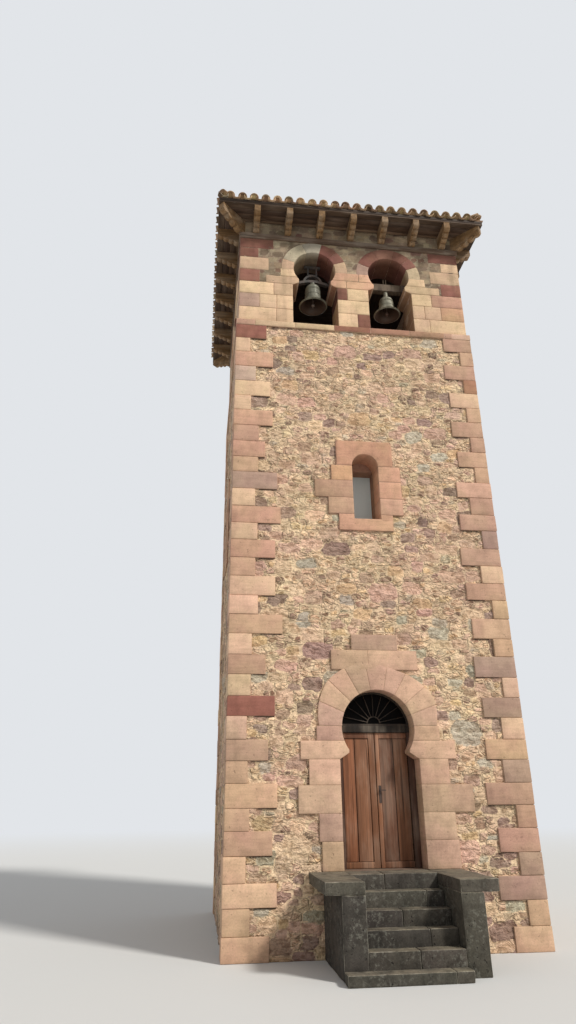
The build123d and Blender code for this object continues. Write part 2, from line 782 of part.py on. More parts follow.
# Steps: solid treads that run down to the ground; the lowest one also passes the left cheek wall
flight_left = door_x - flight_width / 2
flight_right = door_x + flight_width / 2
landing_front = -half - landing_depth
cheek_front = landing_front - (riser_count - 1) * tread
for index in range(riser_count + 1):
    front = landing_front - index * tread
    back = -core if index == 0 else front + tread
    left = flight_left if index < riser_count else flight_left - cheek_width
    save(f"step_{index + 1}", block(left, flight_right, front, back, 0, threshold_height - index * riser))

# Cheek walls beside the steps, with copings that overhang them on the outside
coping_bottom = threshold_height - coping_height
save("left_cheek_wall", block(flight_left - cheek_width, flight_left, cheek_front, -core, 0, coping_bottom))
save("right_cheek_wall", block(flight_right, flight_right + cheek_width, cheek_front, -core,
                               0, coping_bottom))
save("cheek_copings",
     block(flight_left - coping_width, flight_left, cheek_front, -core, coping_bottom, threshold_height),
     block(flight_right, flight_right + coping_width, cheek_front, -core, coping_bottom, threshold_height))
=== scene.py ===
import itertools
import math

import bpy
import numpy as np
from mathutils import Matrix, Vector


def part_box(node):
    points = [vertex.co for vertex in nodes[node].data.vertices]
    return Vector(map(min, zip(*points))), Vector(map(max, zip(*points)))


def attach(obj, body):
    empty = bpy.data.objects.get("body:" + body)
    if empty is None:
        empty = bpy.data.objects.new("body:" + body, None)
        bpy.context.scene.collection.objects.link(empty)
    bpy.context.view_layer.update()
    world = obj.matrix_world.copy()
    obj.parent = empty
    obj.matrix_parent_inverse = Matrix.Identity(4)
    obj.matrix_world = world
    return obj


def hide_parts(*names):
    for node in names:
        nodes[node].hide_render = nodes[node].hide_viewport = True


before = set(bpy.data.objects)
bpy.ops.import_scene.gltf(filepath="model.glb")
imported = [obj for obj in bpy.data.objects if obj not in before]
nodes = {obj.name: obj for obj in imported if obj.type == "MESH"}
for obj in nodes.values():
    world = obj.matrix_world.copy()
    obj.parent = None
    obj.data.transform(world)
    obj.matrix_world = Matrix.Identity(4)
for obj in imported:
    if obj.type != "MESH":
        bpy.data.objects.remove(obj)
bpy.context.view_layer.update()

# The view
# The photograph was taken from the foot of the steps, a little to the left, looking up at the
# belfry. The lens is given for the long side of the picture.
eye = (-2.648, -12.460, 1.925)
eye_yaw, eye_pitch, eye_roll = 0.1289, 0.4011, -0.0105
lens_mm, sensor_mm, view_reach = 23.845, 36.0, 400.0


def studio_object(name, data, right, up, back, place=(0, 0, 0)):
    """An object of the studio, turned so that its own three axes lie along the given ones."""
    placing = np.eye(4)
    placing[:3] = np.stack([right, up, back, place], 1)
    item = bpy.data.objects.new(name, data)
    item.matrix_world = Matrix(placing)
    bpy.context.scene.collection.objects.link(item)
    return item


ahead = np.array([math.sin(eye_yaw) * math.cos(eye_pitch), math.cos(eye_yaw) * math.cos(eye_pitch),
                  math.sin(eye_pitch)])
level = np.array([math.cos(eye_yaw), -math.sin(eye_yaw), 0.0])
upward = np.cross(level, ahead)
camera_lens = bpy.data.cameras.new("camera")
camera_lens.lens, camera_lens.sensor_width, camera_lens.clip_end = lens_mm, sensor_mm, view_reach
camera = studio_object("camera", camera_lens, level * math.cos(eye_roll) + upward * math.sin(eye_roll),
                       upward * math.cos(eye_roll) - level * math.sin(eye_roll), -ahead, eye)
bpy.context.scene.camera = camera
bpy.context.scene.view_settings.view_transform = "Standard"

# Light and floor
# Even light from all round, and a broad soft lamp from the front right, as high as a mid-morning
# sun. The floor is pale and plain and runs out into the pale background.
sky_strength, lamp_strength, lamp_softness = 0.50, 3.0, 0.15
sky_colour, lamp_colour = (0.97, 0.98, 1.0, 1.0), (1.0, 0.97, 0.92)
lamp_towards = (-0.62, 0.60, -0.78)
floor_radius, floor_fade_start, floor_fade_end = 90.0, 12.0, 45.0


def shade(red, green, blue):
    """A colour as it looks on screen, from 0 to 255, turned into the light it gives back."""
    seen = np.array([red, green, blue]) / 255
    light = np.where(seen <= 0.04045, seen / 12.92, ((seen + 0.055) / 1.055) ** 2.4)
    return (*light.tolist(), 1.0)


def add(tree, kind, inputs=None, **settings):
    """Add a shader node; an input takes a plain value or the socket that feeds it."""
    node = tree.nodes.new(f"ShaderNode{kind}")
    for name, value in settings.items():
        setattr(node, name, value)
    for name, value in (inputs or {}).items():
        if isinstance(value, bpy.types.NodeSocket):
            tree.links.new(value, node.inputs[name])
        else:
            node.inputs[name].default_value = value
    return node


def figure(tree, kind, *values):
    """The result of a Math node."""
    return add(tree, "Math", dict(enumerate(values)), operation=kind).outputs[0]


def ramped(tree, value, low, high, to_low=0.0, to_high=1.0):
    """A value eased from one range into another, and held at its ends."""
    node = add(tree, "MapRange", {"Value": value, "From Min": low, "From Max": high,
               "To Min": to_low, "To Max": to_high}, interpolation_type="SMOOTHSTEP")
    return node.outputs["Result"]


pale = shade(226, 229, 233)
world = bpy.data.worlds.new("studio")
bpy.context.scene.world = world
world.use_nodes = True
tree = world.node_tree
tree.nodes.clear()
path = add(tree, "LightPath")
seen_behind = figure(tree, "MAXIMUM", path.outputs["Is Camera Ray"], path.outputs["Is Glossy Ray"])
seen_behind = figure(tree, "MAXIMUM", seen_behind, path.outputs["Is Transmission Ray"])
even = add(tree, "Background", {"Color": sky_colour, "Strength": sky_strength})
behind = add(tree, "Background", {"Color": pale, "Strength": 1.0})
chosen = add(tree, "MixShader", {0: seen_behind, 1: even.outputs[0], 2: behind.outputs[0]})
add(tree, "OutputWorld", {"Surface": chosen.outputs[0]})

lamp_light = bpy.data.lights.new("lamp", "SUN")
lamp_light.energy, lamp_light.angle, lamp_light.color = lamp_strength, lamp_softness, lamp_colour
back = -np.array(lamp_towards) / np.linalg.norm(lamp_towards)
side = np.cross((0.0, 0.0, 1.0), back)
side /= np.linalg.norm(side)
studio_object("lamp", lamp_light, side, np.cross(back, side), back)

floor_material = bpy.data.materials.new("pale_floor")
floor_material.use_nodes = True
tree = floor_material.node_tree
tree.nodes.clear()
place = add(tree, "TexCoord").outputs["Object"]
far = add(tree, "VectorMath", {0: place}, operation="LENGTH").outputs["Value"]
lit = add(tree, "BsdfPrincipled", {"Base Color": shade(205, 205, 203), "Roughness": 0.9})
glow = add(tree, "Emission", {"Color": pale})
out = add(tree, "MixShader", {0: ramped(tree, far, floor_fade_start, floor_fade_end),
                              1: lit.outputs[0], 2: glow.outputs[0]})
add(tree, "OutputMaterial", {"Surface": out.outputs[0]})
floor_mesh = bpy.data.meshes.new("floor")
corners = floor_radius * np.array([(-1, -1, 0), (1, -1, 0), (1, 1, 0), (-1, 1, 0)])
floor_mesh.from_pydata(corners.tolist(), [], [(0, 1, 2, 3)])
floor_mesh.materials.append(floor_material)
studio_object("floor", floor_mesh, (1, 0, 0), (0, 1, 0), (0, 0, 1))

# Rubble walls
# Field stones of every size, bedded in sandy lime mortar that is brought almost flush with them.
# The largest were laid first and the gaps packed with small ones; here and there a joint has
# lost its mortar and is sunk, and the slot is painted darker as painted shade.
wall_half = -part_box("front_wall_upper")[0].y
wall_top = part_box("sill_course")[0].z
rubble_reach = 2.13
rubble_mortar = shade(240, 208, 168)
rubble_shades = [((220, 186, 150), 7), ((208, 174, 143), 6), ((230, 198, 160), 4), ((204, 168, 145), 3),
                 ((218, 182, 138), 1.5), ((196, 178, 152), 1.0), ((178, 148, 124), 2.5), ((156, 128, 108), 1.2)]
boulder_shades = [((216, 184, 152), 5), ((204, 168, 144), 4), ((192, 180, 158), 1.4), ((170, 142, 126), 2),
                  ((212, 178, 136), 1.2), ((176, 148, 122), 1.4), ((156, 130, 114), 0.7)]
wall_sizes = [(0.18, 0.05), (0.12, 0.13), (0.085, 0.18), (0.062, 0.40), (0.045, 0.35)]
wall_depths = (0.002, 0.006, 0.019)
front_step, far_step = 0.022, 0.035
side_names = ("front", "right", "back", "left")


def noise(points, size, seed):
    """Value noise from -1 to 1: random heights on a lattice with cells of the given size,
    blended smoothly between the corners of the cell."""
    cell = points / size + 17.31 * seed
    base = np.floor(cell)
    part = cell - base
    part = part * part * (3 - 2 * part)
    total = np.zeros(points.shape[:-1])
    waves = np.array([127.1, 311.7, 74.7])[:points.shape[-1]]
    for corner in itertools.product((0, 1), repeat=points.shape[-1]):
        mark = np.sin((base + corner) @ waves) * 43758.5453
        weight = np.prod(np.where(corner, part, 1 - part), axis=-1)
        total += (mark - np.floor(mark)) * weight
    return 2 * total - 1


def lay_stones(width, bottom, top, random, sizes):
    """Places for rubble stones, large ones first, each kept if it clears those already laid.
    A row is x, z, half width, half height and turn."""
    laid = np.empty((0, 5))
    area = width * (top - bottom)
    for half_width, cover in sizes:
        for _ in range(int(cover * area / (4 * half_width * half_width * 0.62)) * 3):
            a = half_width * random.uniform(0.8, 1.25)
            b = a * random.uniform(0.45, 0.8)
            x, z = random.uniform(-width / 2, width / 2), random.uniform()
            z = bottom + (top - bottom) * z ** (1.7 if half_width > 0.1 else 1.0)
            apart = np.maximum(np.abs(laid[:, 0] - x) / (laid[:, 2] + a),
                               np.abs(laid[:, 1] - z) / (laid[:, 3] + b))
            if apart.size == 0 or apart.min() > 0.93:
                laid = np.vstack([laid, (x, z, a, b, random.normal(0, 0.12))])
    return laid


def rubble_field(across, up, stones, seed, grow=0.024):
    """For each point of a wall, the stone it lies on and its distance inside that stone's edge.
    Each stone is a superellipse, |u|^3 + |v|^3 = 1, and grows until it meets the next one."""
    grid = np.stack([across, up], -1)
    x = across + 0.022 * noise(grid, 0.16, seed) + 0.008 * noise(grid, 0.05, seed + 1)
    z = up + 0.016 * noise(grid, 0.13, seed + 2) + 0.006 * noise(grid, 0.045, seed + 3)
    near, next_near = np.full((2, *x.shape), 1.0)
    owner = np.zeros(x.shape, int)
    for index, (cx, cz, a, b, turn) in enumerate(stones):
        reach = a + 0.16
        view = tuple(slice(*np.searchsorted(line, (middle - reach, middle + reach)))
                     for line, middle in ((up[:, 0], cz), (across[0], cx)))
        dx, dz = x[view] - cx, z[view] - cz
        u = (dx * math.cos(turn) + dz * math.sin(turn)) / a
        v = (dz * math.cos(turn) - dx * math.sin(turn)) / b
        gap = (np.cbrt(np.abs(u) ** 3 + np.abs(v) ** 3) - 1) * b
        closer = gap < near[view]
        next_near[view] = np.where(closer, near[view], np.minimum(next_near[view], gap))
        near[view] = np.where(closer, gap, near[view])
        owner[view] = np.where(closer, index, owner[view])
    return owner, np.minimum((next_near - near) / 2, grow - near)


def build_piece(name, points, faces, material, slot, body="tower", replaces=(), **values):
    """A mesh from arrays, with a value for each vertex, or each block of vertices, where the
    material reads one."""
    points = np.reshape(points, (-1, 3))
    mesh = bpy.data.meshes.new(name)
    mesh.vertices.add(len(points))
    mesh.vertices.foreach_set("co", np.ascontiguousarray(points, np.float32).ravel())
    mesh.loops.add(faces.size)
    mesh.loops.foreach_set("vertex_index", np.ascontiguousarray(faces, np.int32).ravel())
    mesh.polygons.add(len(faces))
    mesh.polygons.foreach_set("loop_start", np.arange(0, faces.size, faces.shape[1], dtype=np.int32))
    mesh.polygons.foreach_set("use_smooth", np.ones(len(faces), bool))
    for key, data in values.items():
        data = np.repeat(np.asarray(data, np.float32), len(points) // len(data), 0)
        kind, field = ("FLOAT_COLOR", "color") if data.ndim == 2 else ("FLOAT", "value")
        mesh.attributes.new(key, kind, "POINT").data.foreach_set(field, data.ravel())
    mesh.update(calc_edges=True)
    mesh.validate()
    mesh.materials.append(material)
    piece = bpy.data.objects.new(name, mesh)
    bpy.context.scene.collection.objects.link(piece)
    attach(piece, body)
    if replaces:
        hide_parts(*replaces)


def turned(points, quarter):
    """Points turned about the tower's axis by a number of quarter turns."""
    cos, sin = ((1, 0), (0, 1), (-1, 0), (0, -1))[quarter % 4]
    x, y, z = points[..., 0], points[..., 1], points[..., 2]
    return np.stack([x * cos - y * sin, x * sin + y * cos, z], -1)


def pick_shades(shades, count, random, spread=0.05):
    """A colour for each stone, drawn by weight and made a little lighter or darker."""
    weights = np.array([weight for _, weight in shades], float)
    drawn = random.choice(len(shades), count, p=weights / weights.sum())
    colours = np.array([shade(*colour) for colour, _ in shades])[drawn]
    colours[:, :3] *= 1 + random.normal(0, spread, (count, 1)) + random.normal(0, 0.02, (count, 3))
    return np.clip(colours, 0, 1)


def node_group(name, colours, values, full=False):
    """A shader node group that takes a Vector and the named colours and values, and gives a
    Color and, where it is full, a Roughness and a Height. Also what comes in, and what goes out."""
    group = bpy.data.node_groups.new(name, "ShaderNodeTree")
    sockets = [("INPUT", "Vector", "Vector"), ("OUTPUT", "Color", "Color")]
    sockets += [("OUTPUT", "Roughness", "Float"), ("OUTPUT", "Height", "Float")] if full else []
    sockets += [("INPUT", colour, "Color") for colour in colours]
    sockets += [("INPUT", value, "Float") for value in values]
    for way, socket, kind in sockets:
        group.interface.new_socket(socket, in_out=way, socket_type=f"NodeSocket{kind}")
    return group, group.nodes.new("NodeGroupInput").outputs, group.nodes.new("NodeGroupOutput").inputs


def grouped(tree, group, **inputs):
    """A node group placed in a material with the material's own values."""
    return add(tree, "Group", inputs, node_tree=group).outputs


def mixed(tree, share, under, over):
    """One colour laid over another."""
    return add(tree, "Mix", {0: share, 6: under, 7: over}, data_type="RGBA").outputs[2]


def product(tree, *values):
    """Values multiplied together."""
    for value in values[1:]:
        values = (figure(tree, "MULTIPLY", values[0], value),)
    return values[0]


def times_plus(tree, value, factor, more):
    """A value times a factor, plus another value."""
    return figure(tree, "MULTIPLY_ADD", value, factor, more)


def stretched(tree, vector, by):
    """A vector, or a colour, multiplied by another one axis by axis."""
    return add(tree, "VectorMath", {0: vector, 1: by}, operation="MULTIPLY").outputs[0]


def scaled(tree, colour, light):
    """A colour made lighter or darker."""
    return add(tree, "VectorMath", {0: colour, "Scale": light}, operation="SCALE").outputs[0]


def cloud(tree, place, scale, detail, rough=0.5, output=0):
    """Cloudy noise."""
    node = add(tree, "TexNoise", {"Vector": place, "Scale": scale, "Detail": detail, "Roughness": rough})
    return node.outputs[output]


def surface_group():
    """Weathered stone: the stone's own colour broken up by broad stains, by grain, by level
    beds in the rock and by rain streaks, with the height that goes with them."""
    group, given, gives = node_group("weathered_stone", ("Tint",), ("Stain", "Beds", "Grain", "Streaks"), True)
    place = given["Vector"]

    def amount(share, value, low, high, depth):
        """How much a texture darkens the stone: 1 leaves it as it is."""
        return times_plus(group, product(group, ramped(group, value, low, high), share), -depth, 1.0)

    cloudy = cloud(group, place, 7.0, 6, 0.6)
    grain = cloud(group, place, 48.0, 4, 0.7)
    beds = cloud(group, stretched(group, place, (1.0, 1.0, 11.0)), 3.0, 5, 0.55)
    streaks = cloud(group, stretched(group, place, (2.2, 2.2, 0.22)), 2.6, 4, 0.55)
    pit = ramped(group, cloud(group, place, 26.0, 2, 0.55), 0.66, 0.76)
    light = product(group, amount(given["Stain"], cloud(group, place, 1.3, 4, 0.55), 0.35, 0.72, 0.42),
                    amount(given["Stain"], cloudy, 0.40, 0.70, 0.40),
                    amount(given["Beds"], beds, 0.42, 0.66, 0.50),
                    amount(given["Streaks"], streaks, 0.50, 0.75, 0.70),
                    amount(given["Grain"], grain, 0.35, 0.70, 0.34),
                    times_plus(group, product(group, pit, given["Grain"]), -0.6, 1.0), 1.16)
    warm = ramped(group, cloud(group, place, 2.1, 3, 0.55), 0.35, 0.65, 0.494, 0.506)
    tinted = add(group, "HueSaturation", {"Hue": warm, "Saturation": 0.95, "Color": given["Tint"]}).outputs[0]
    height = times_plus(group, cloudy, 0.7, product(group, grain, 0.25))
    height = times_plus(group, beds, product(group, given["Beds"], 0.5), height)
    group.links.new(scaled(group, tinted, light), gives["Color"])
    group.links.new(ramped(group, cloudy, 0.3, 0.7, 0.82, 0.95), gives["Roughness"])
    group.links.new(times_plus(group, pit, -0.7, height), gives["Height"])
    return group


def wear_group():
    """Arrises rubbed paler: the nearer the edge, the more of a frayed noise is bare."""
    group, given, gives = node_group("edge_wear", ("Color", "Worn"), ("Edge", "Amount"))
    frayed = cloud(group, given["Vector"], 9.0, 5)
    bare = ramped(group, times_plus(group, frayed, 0.9, given["Edge"]), 1.0, 1.6)
    worn = product(group, bare, given["Amount"])
    group.links.new(mixed(group, worn, given["Color"], given["Worn"]), gives["Color"])
    return group


def pointing_group():
    """Mortar that laps over the stones' edges: the depth inside a stone, frayed by noise."""
    group, given, gives = node_group("pointing", ("Color", "Mortar"), ("Depth",))
    frayed = cloud(group, given["Vector"], 24.0, 4)
    bare = ramped(group, times_plus(group, frayed, 0.5, given["Depth"]), 0.45, 0.85)
    group.links.new(mixed(group, bare, given["Mortar"], given["Color"]), gives["Color"])
    return group


def lichen_group():
    """Lichen: small crusts, where a fine noise is high, gathered in broad patches."""
    group, given, gives = node_group("lichen", ("Color", "Crust"), ("Amount",))
    crusts = ramped(group, cloud(group, given["Vector"], 22.0, 6, 0.7), 0.50, 0.62)
    patches = ramped(group, cloud(group, given["Vector"], 2.6, 4), 0.38, 0.62)
    share = product(group, crusts, patches, given["Amount"])
    group.links.new(mixed(group, share, given["Color"], given["Crust"]), gives["Color"])
    return group


stone_group, edge_wear, pointing, lichen_crust = surface_group(), wear_group(), pointing_group(), lichen_group()


def packing(tree, place, tint, whole, mortar, amount):
    """Rubble between the large stones, broken up by the small packing stones: bent cells, flat
    ones, each a little lighter or darker, with mortar at their edges, and a craggy noise over all
    with painted shade in its low places and painted highlight on its high ones. Gives the colour and the
    height."""
    swirl = cloud(tree, place, 5.0, 3, output="Color")
    bent = add(tree, "VectorMath", {0: swirl, 1: (0.16, 0.16, 0.16), 2: place}, operation="MULTIPLY_ADD")
    flat = stretched(tree, bent.outputs[0], (1.0, 1.0, 2.1))
    shards = add(tree, "TexVoronoi", {"Vector": flat, "Scale": 6.5}).outputs["Color"]
    edges = add(tree, "TexVoronoi", {"Vector": flat, "Scale": 6.5}, feature="DISTANCE_TO_EDGE").outputs[0]
    crag = cloud(tree, flat, 8.5, 3.5, 0.68)
    share = product(tree, figure(tree, "SUBTRACT", 1.0, whole), amount)
    inside = ramped(tree, edges, 0.0, 0.13)
    own = add(tree, "SeparateXYZ", {0: shards}).outputs[0]
    light = times_plus(tree, share, times_plus(tree, own, 0.30, -0.16), 1.0)
    # Painted shade, warm, where the crag is low and painted highlight where it is high; weaker on the largest
    # stones.
    lit = mixed(tree, ramped(tree, crag, 0.38, 0.56), (0.62, 0.53, 0.45, 1.0), (1.30, 1.28, 1.26, 1.0))
    even = mixed(tree, ramped(tree, crag, 0.36, 0.60), (0.86, 0.80, 0.74, 1.0), (1.20, 1.18, 1.16, 1.0))
    tint = stretched(tree, scaled(tree, tint, light), mixed(tree, product(tree, whole, 0.6), lit, even))
    filled = product(tree, figure(tree, "SUBTRACT", 1.0, inside), share, 0.75)
    raised = product(tree, figure(tree, "ADD", inside, own), 0.5, share)
    return mixed(tree, filled, tint, mortar), times_plus(tree, crag, 1.8, raised)


def new_material(name, shine=0.5):
    """A material, its node tree, its shader and the coordinates on the object."""
    material = bpy.data.materials.new(name)
    material.use_nodes = True
    tree = material.node_tree
    shader = tree.nodes["Principled BSDF"]
    shader.inputs["Specular IOR Level"].default_value = shine
    return material, tree, shader, add(tree, "TexCoord").outputs


def surface(tree, shader, colour, rough, *reliefs):
    """Joins a finish to the shader. Reliefs are heights with the depth that each stands for."""
    tree.links.new(colour, shader.inputs["Base Color"])
    if rough is not None:
        tree.links.new(rough, shader.inputs["Roughness"])
    under = {}
    for height, depth in reliefs:
        bump = add(tree, "Bump", {"Strength": 1.0, "Distance": depth, "Height": height, **under})
        under = {"Normal": bump.outputs[0]}
    tree.links.new(under["Normal"], shader.inputs["Normal"])


def attribute(tree, name):
    """What the mesh says at each point under a name."""
    return add(tree, "Attribute", attribute_name=name).outputs


def stone_material(name, tint, stain=0.5, beds=0.3, grain=0.5, streaks=0.25, relief=0.004, joints=None,
                   arris=None, wear=0.45, chips=0.0, lichen=None, crusted=0.55, dust=None):
    """A stone finish. The tint is one colour, or the name of the mesh's own colours. Joints give
    the mortar's colour where the mesh says how near a joint is, arris the colour of worn edges,
    chips how much the small packing stones break up all but the largest stones, lichen the
    colour of its crusts, and dust what lies on the faces that look up."""
    material, tree, shader, coordinates = new_material(name, 0.25)
    place = coordinates["Object"]
    reliefs = []
    if isinstance(tint, str):
        colours = attribute(tree, tint)
        tint, whole = colours["Color"], colours["Alpha"]
    if chips:
        tint, raised = packing(tree, place, tint, whole, joints, chips)
        reliefs = [(raised, 0.038)]
    if arris:
        edge = attribute(tree, "arris")["Fac"]
        tint = grouped(tree, edge_wear, Vector=place, Color=tint, Edge=edge, Worn=arris, Amount=wear)[0]
    if joints:
        depth = attribute(tree, "joint")["Fac"]
        tint = grouped(tree, pointing, Vector=place, Color=tint, Depth=depth, Mortar=joints)[0]
    if lichen:
        tint = grouped(tree, lichen_crust, Vector=place, Color=tint, Crust=lichen, Amount=crusted)[0]
    if dust:
        up = add(tree, "SeparateXYZ", {0: add(tree, "NewGeometry").outputs["Normal"]}).outputs[2]
        drifts = ramped(tree, cloud(tree, place, 4.0, 5), 0.30, 0.62, 0.25, 0.9)
        tint = mixed(tree, product(tree, ramped(tree, up, 0.5, 0.9), drifts), tint, dust)
    colour, rough, height = grouped(tree, stone_group, Vector=place, Tint=tint, Stain=stain, Beds=beds,
                                    Grain=grain, Streaks=streaks)
    surface(tree, shader, colour, rough, (height, relief), *reliefs)
    return material


rubble_material = stone_material("rubble", "tint", stain=0.4, beds=0.2, grain=0.6, streaks=0.15,
                                 relief=0.012, joints=rubble_mortar, chips=0.9)
wall_material = stone_material("wall_mortar", rubble_mortar, stain=0.6, grain=0.6, relief=0.006)
bed_mortar = shade(184, 152, 124)
joint_material = stone_material("bed_mortar", bed_mortar, stain=0.4, beds=0.0)


def strips(index, beside):
    """The faces between two sets of columns of points, from each row to the next."""
    return np.stack([index[:-1], beside[:-1], beside[1:], index[1:]], -1).reshape(-1, 4)


def rubble_skin(name, quarter, face, reach, low, high, step, seed, holes, sizes, shades, depths, material, slot,
                large_shades=None):
    """The face of a rubble wall: each stone bulges by its own height, leans a little and is
    rough, and the mortar lies just under it. Depths are the mortar's and the stones' range."""
    random = np.random.default_rng(seed)
    stones = lay_stones(2 * reach + 0.2, low - 0.1, high + 0.1, random, sizes)
    columns = np.linspace(-reach, reach, round(2 * reach / step) + 1)
    rows = np.linspace(low, high, round((high - low) / step) + 1)
    across, up = np.meshgrid(columns, rows)
    owner, inside = rubble_field(across, up, stones, seed)
    bed, shallow, proud = depths
    lift = random.uniform(shallow, proud, len(stones))[owner]
    lean = random.normal(0, 0.05, (2, len(stones)))
    tilt = (across - stones[owner, 0]) * lean[0][owner] + (up - stones[owner, 1]) * lean[1][owner]
    grid = np.stack([across, up], -1)
    rough = noise(grid, 0.07, seed + 5) + 0.6 * noise(grid, 0.03, seed + 6)
    bulge = 1 - np.exp(-np.maximum(inside, 0) / 0.009)
    # Where a joint has lost its mortar the surface is sunk, and further down the colour is painted darker there
    # as painted shade in the slot.
    lost_mortar_and_painted_shade = np.clip(noise(grid, 0.30, seed + 7) * 2.6 - 0.85, 0, 1) * np.clip(1 - np.abs(inside) / 0.012, 0, 1)
    height = bed + bulge * (lift - bed + tilt) + rough * (0.08 + 0.14 * bulge) * (proud - bed)
    height = np.clip(height, 0.6 * bed, 1.15 * proud) * (1 - 0.92 * lost_mortar_and_painted_shade) + 0.0008

    index = np.arange(across.size).reshape(across.shape)
    quads = strips(index[:, :-1], index[:, 1:])
    middle = grid.reshape(-1, 2)[quads].mean(1)
    quads = quads[~np.any([hole(*middle.T) for hole in holes] + [np.zeros(len(quads), bool)], 0)]
    points = np.stack([across, -face - height, up], -1).reshape(-1, 3)
    sides = np.concatenate([quads[:, [a, b]] for a, b in ((0, 1), (1, 2), (2, 3), (3, 0))])
    keys = np.sort(sides, 1)
    _, first, number = np.unique(keys[:, 0] * len(points) + keys[:, 1], return_index=True, return_counts=True)
    rim = sides[first[number == 1]]
    tucked = points[rim]
    tucked[..., 1] = -face + 0.01
    hem = np.arange(2 * len(rim)).reshape(-1, 2) + len(points)
    quads = np.vstack([quads, np.stack([rim[:, 1], rim[:, 0], hem[:, 0], hem[:, 1]], -1)])
    points = np.vstack([points, tucked.reshape(-1, 3)])

    tints = pick_shades(shades, len(stones), random)
    large = stones[:, 2] > np.interp(stones[:, 1], (1.5, 5.0), (0.055, 0.085))
    tints[large] = pick_shades(large_shades or shades, large.sum(), random, 0.07)
    tints[:, 3] = large
    tints = tints[owner].reshape(-1, 4)
    joint = np.clip(inside / 0.014, 0, 1).ravel() - 0.9 * lost_mortar_and_painted_shade.ravel()
    # Painted shade: the colour is darkened where mortar is lost.
    tints[:, :3] *= (1 - 0.75 * lost_mortar_and_painted_shade.ravel())[:, None]
    used, renumbered = np.unique(quads, return_inverse=True)
    source = np.concatenate([np.arange(index.size), rim.ravel()])[used]
    build_piece(name, turned(points[used], quarter), renumbered.reshape(-1, 4), material, slot,
                tint=tints[source], joint=joint[source])


door_x = (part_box("door_frame")[0].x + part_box("door_frame")[1].x) / 2
window_x, window_sill = 0.020, 6.225


def door_hole(x, z):
    """Where the doorway's stones stand instead of rubble."""
    return (np.abs(x - door_x) < 0.66) & (z < 3.50)


def window_hole(x, z):
    """Where the slit window's stones stand instead of rubble."""
    return (np.abs(x - window_x) < 0.30) & (z > window_sill - 0.07) & (z < window_sill + 1.28)


for quarter, side_name in enumerate(side_names):
    step, holes = (far_step, [window_hole]) if quarter else (front_step, [window_hole, door_hole])
    rubble_skin(f"{side_name}_rubble", quarter, wall_half, rubble_reach, 0.0, wall_top, step, 11 + quarter,
                holes, wall_sizes, rubble_shades, wall_depths, rubble_material, "rubble", boulder_shades)


def dress(names, material):
    """Give solids their finish."""
    for name in names:
        nodes[name].data.materials.clear()
        nodes[name].data.materials.append(material)


dress(("front_wall_left", "front_wall_right", "front_wall_upper", "back_wall", "left_wall", "right_wall",
       "door_lintel"), wall_material)
dress(("door_sill",), stone_material("sill_stone", shade(118, 98, 82), beds=0.0))

# Quoins
# Long and short blocks of rose sandstone that tie the corners together, one above another, each
# long on one face and short on the next. They stand proud of the rubble; thin dark blocks under their ends are
# painted shadow.
body_half = wall_half + 0.035
rose, rose_brown, rose_pale = (205, 165, 133), (190, 150, 124), (216, 178, 145)
dark_red, cream, clay_red, mauve = (150, 98, 80), (222, 188, 148), (170, 122, 94), (178, 146, 126)
salmon = (204, 158, 130)
quoin_shades = [(rose, 6), (rose_brown, 4), (rose_pale, 4), (mauve, 2), (cream, 1), (dark_red, 0.4)]
quoin_lengths = (0.56, 0.26, 0.68, 0.37, 0.63, 0.29, 0.67, 0.43, 0.54, 0.42, 0.75, 0.38, 0.80, 0.42, 0.71,
                 0.39, 0.71, 0.44, 0.82, 0.35, 0.56, 0.34, 0.70, 0.29, 0.60, 0.31, 0.73, 0.34, 0.66, 0.30,
                 0.72, 0.36, 0.62, 0.33)
quoin_pair, quoin_least, quoin_turn, quoin_courses = 0.97, 0.25, 9, 33
quoin_joint, bed_depth, bed_margin = 0.003, 0.011, 0.004
known_quoins = ((dark_red, rose_pale, salmon, (196, 166, 144), cream, rose_pale, salmon, rose_brown, salmon,
                 rose, mauve, rose_pale, salmon, rose_pale, salmon, rose, rose_pale),
                (rose_brown, rose, rose_brown, clay_red, rose_pale, rose, rose_brown, rose_brown, rose), (), ())


def block_form(cuts):
    """The six faces of a block as grids, with a number of cuts along each axis: each point's
    place from -1 to 1 on each axis, and the way that its rounded arris pushes it."""
    places, pushes, faces, start = [], [], [], 0
    for axis, side in itertools.product(range(3), (-1, 1)):
        one, two = (axis + 1) % 3, (axis + 2) % 3
        along = [np.concatenate([[-1], np.linspace(-1, 1, cuts[k] + 1), [1]]) for k in (one, two)]
        lean = [np.concatenate([[-1], np.zeros(cuts[k] + 1), [1]]) for k in (one, two)]
        shape = len(along[0]), len(along[1])
        place, push = np.zeros((2, *shape, 3))
        for target, values in ((place, along), (push, lean)):
            target[..., axis] = side
            target[..., one] = values[0][:, None]
            target[..., two] = values[1][None, :]
        index = np.arange(shape[0] * shape[1]).reshape(shape) + start
        start = index.max() + 1
        faces.append(strips(index[:, :-1], index[:, 1:])[:, (0, 3, 2, 1) if side > 0 else (1, 2, 3, 0)])
        places.append(place.reshape(-1, 3))
        pushes.append(push.reshape(-1, 3))
    whole = np.hstack([np.vstack(places), np.vstack(pushes)])
    whole, which = np.unique(np.round(whole, 6), axis=0, return_inverse=True)
    place, push = whole[:, :3], whole[:, 3:]
    arris = (np.abs(push).sum(1) > 1.5).astype(float)
    return place, push / np.linalg.norm(push, axis=1, keepdims=True), which.ravel()[np.vstack(faces)], arris


def repeated(faces, blocks):
    """The faces of one block made over for each of many blocks of points."""
    return (faces[None] + (np.arange(len(blocks)) * blocks.shape[1])[:, None, None]).reshape(-1, 4)


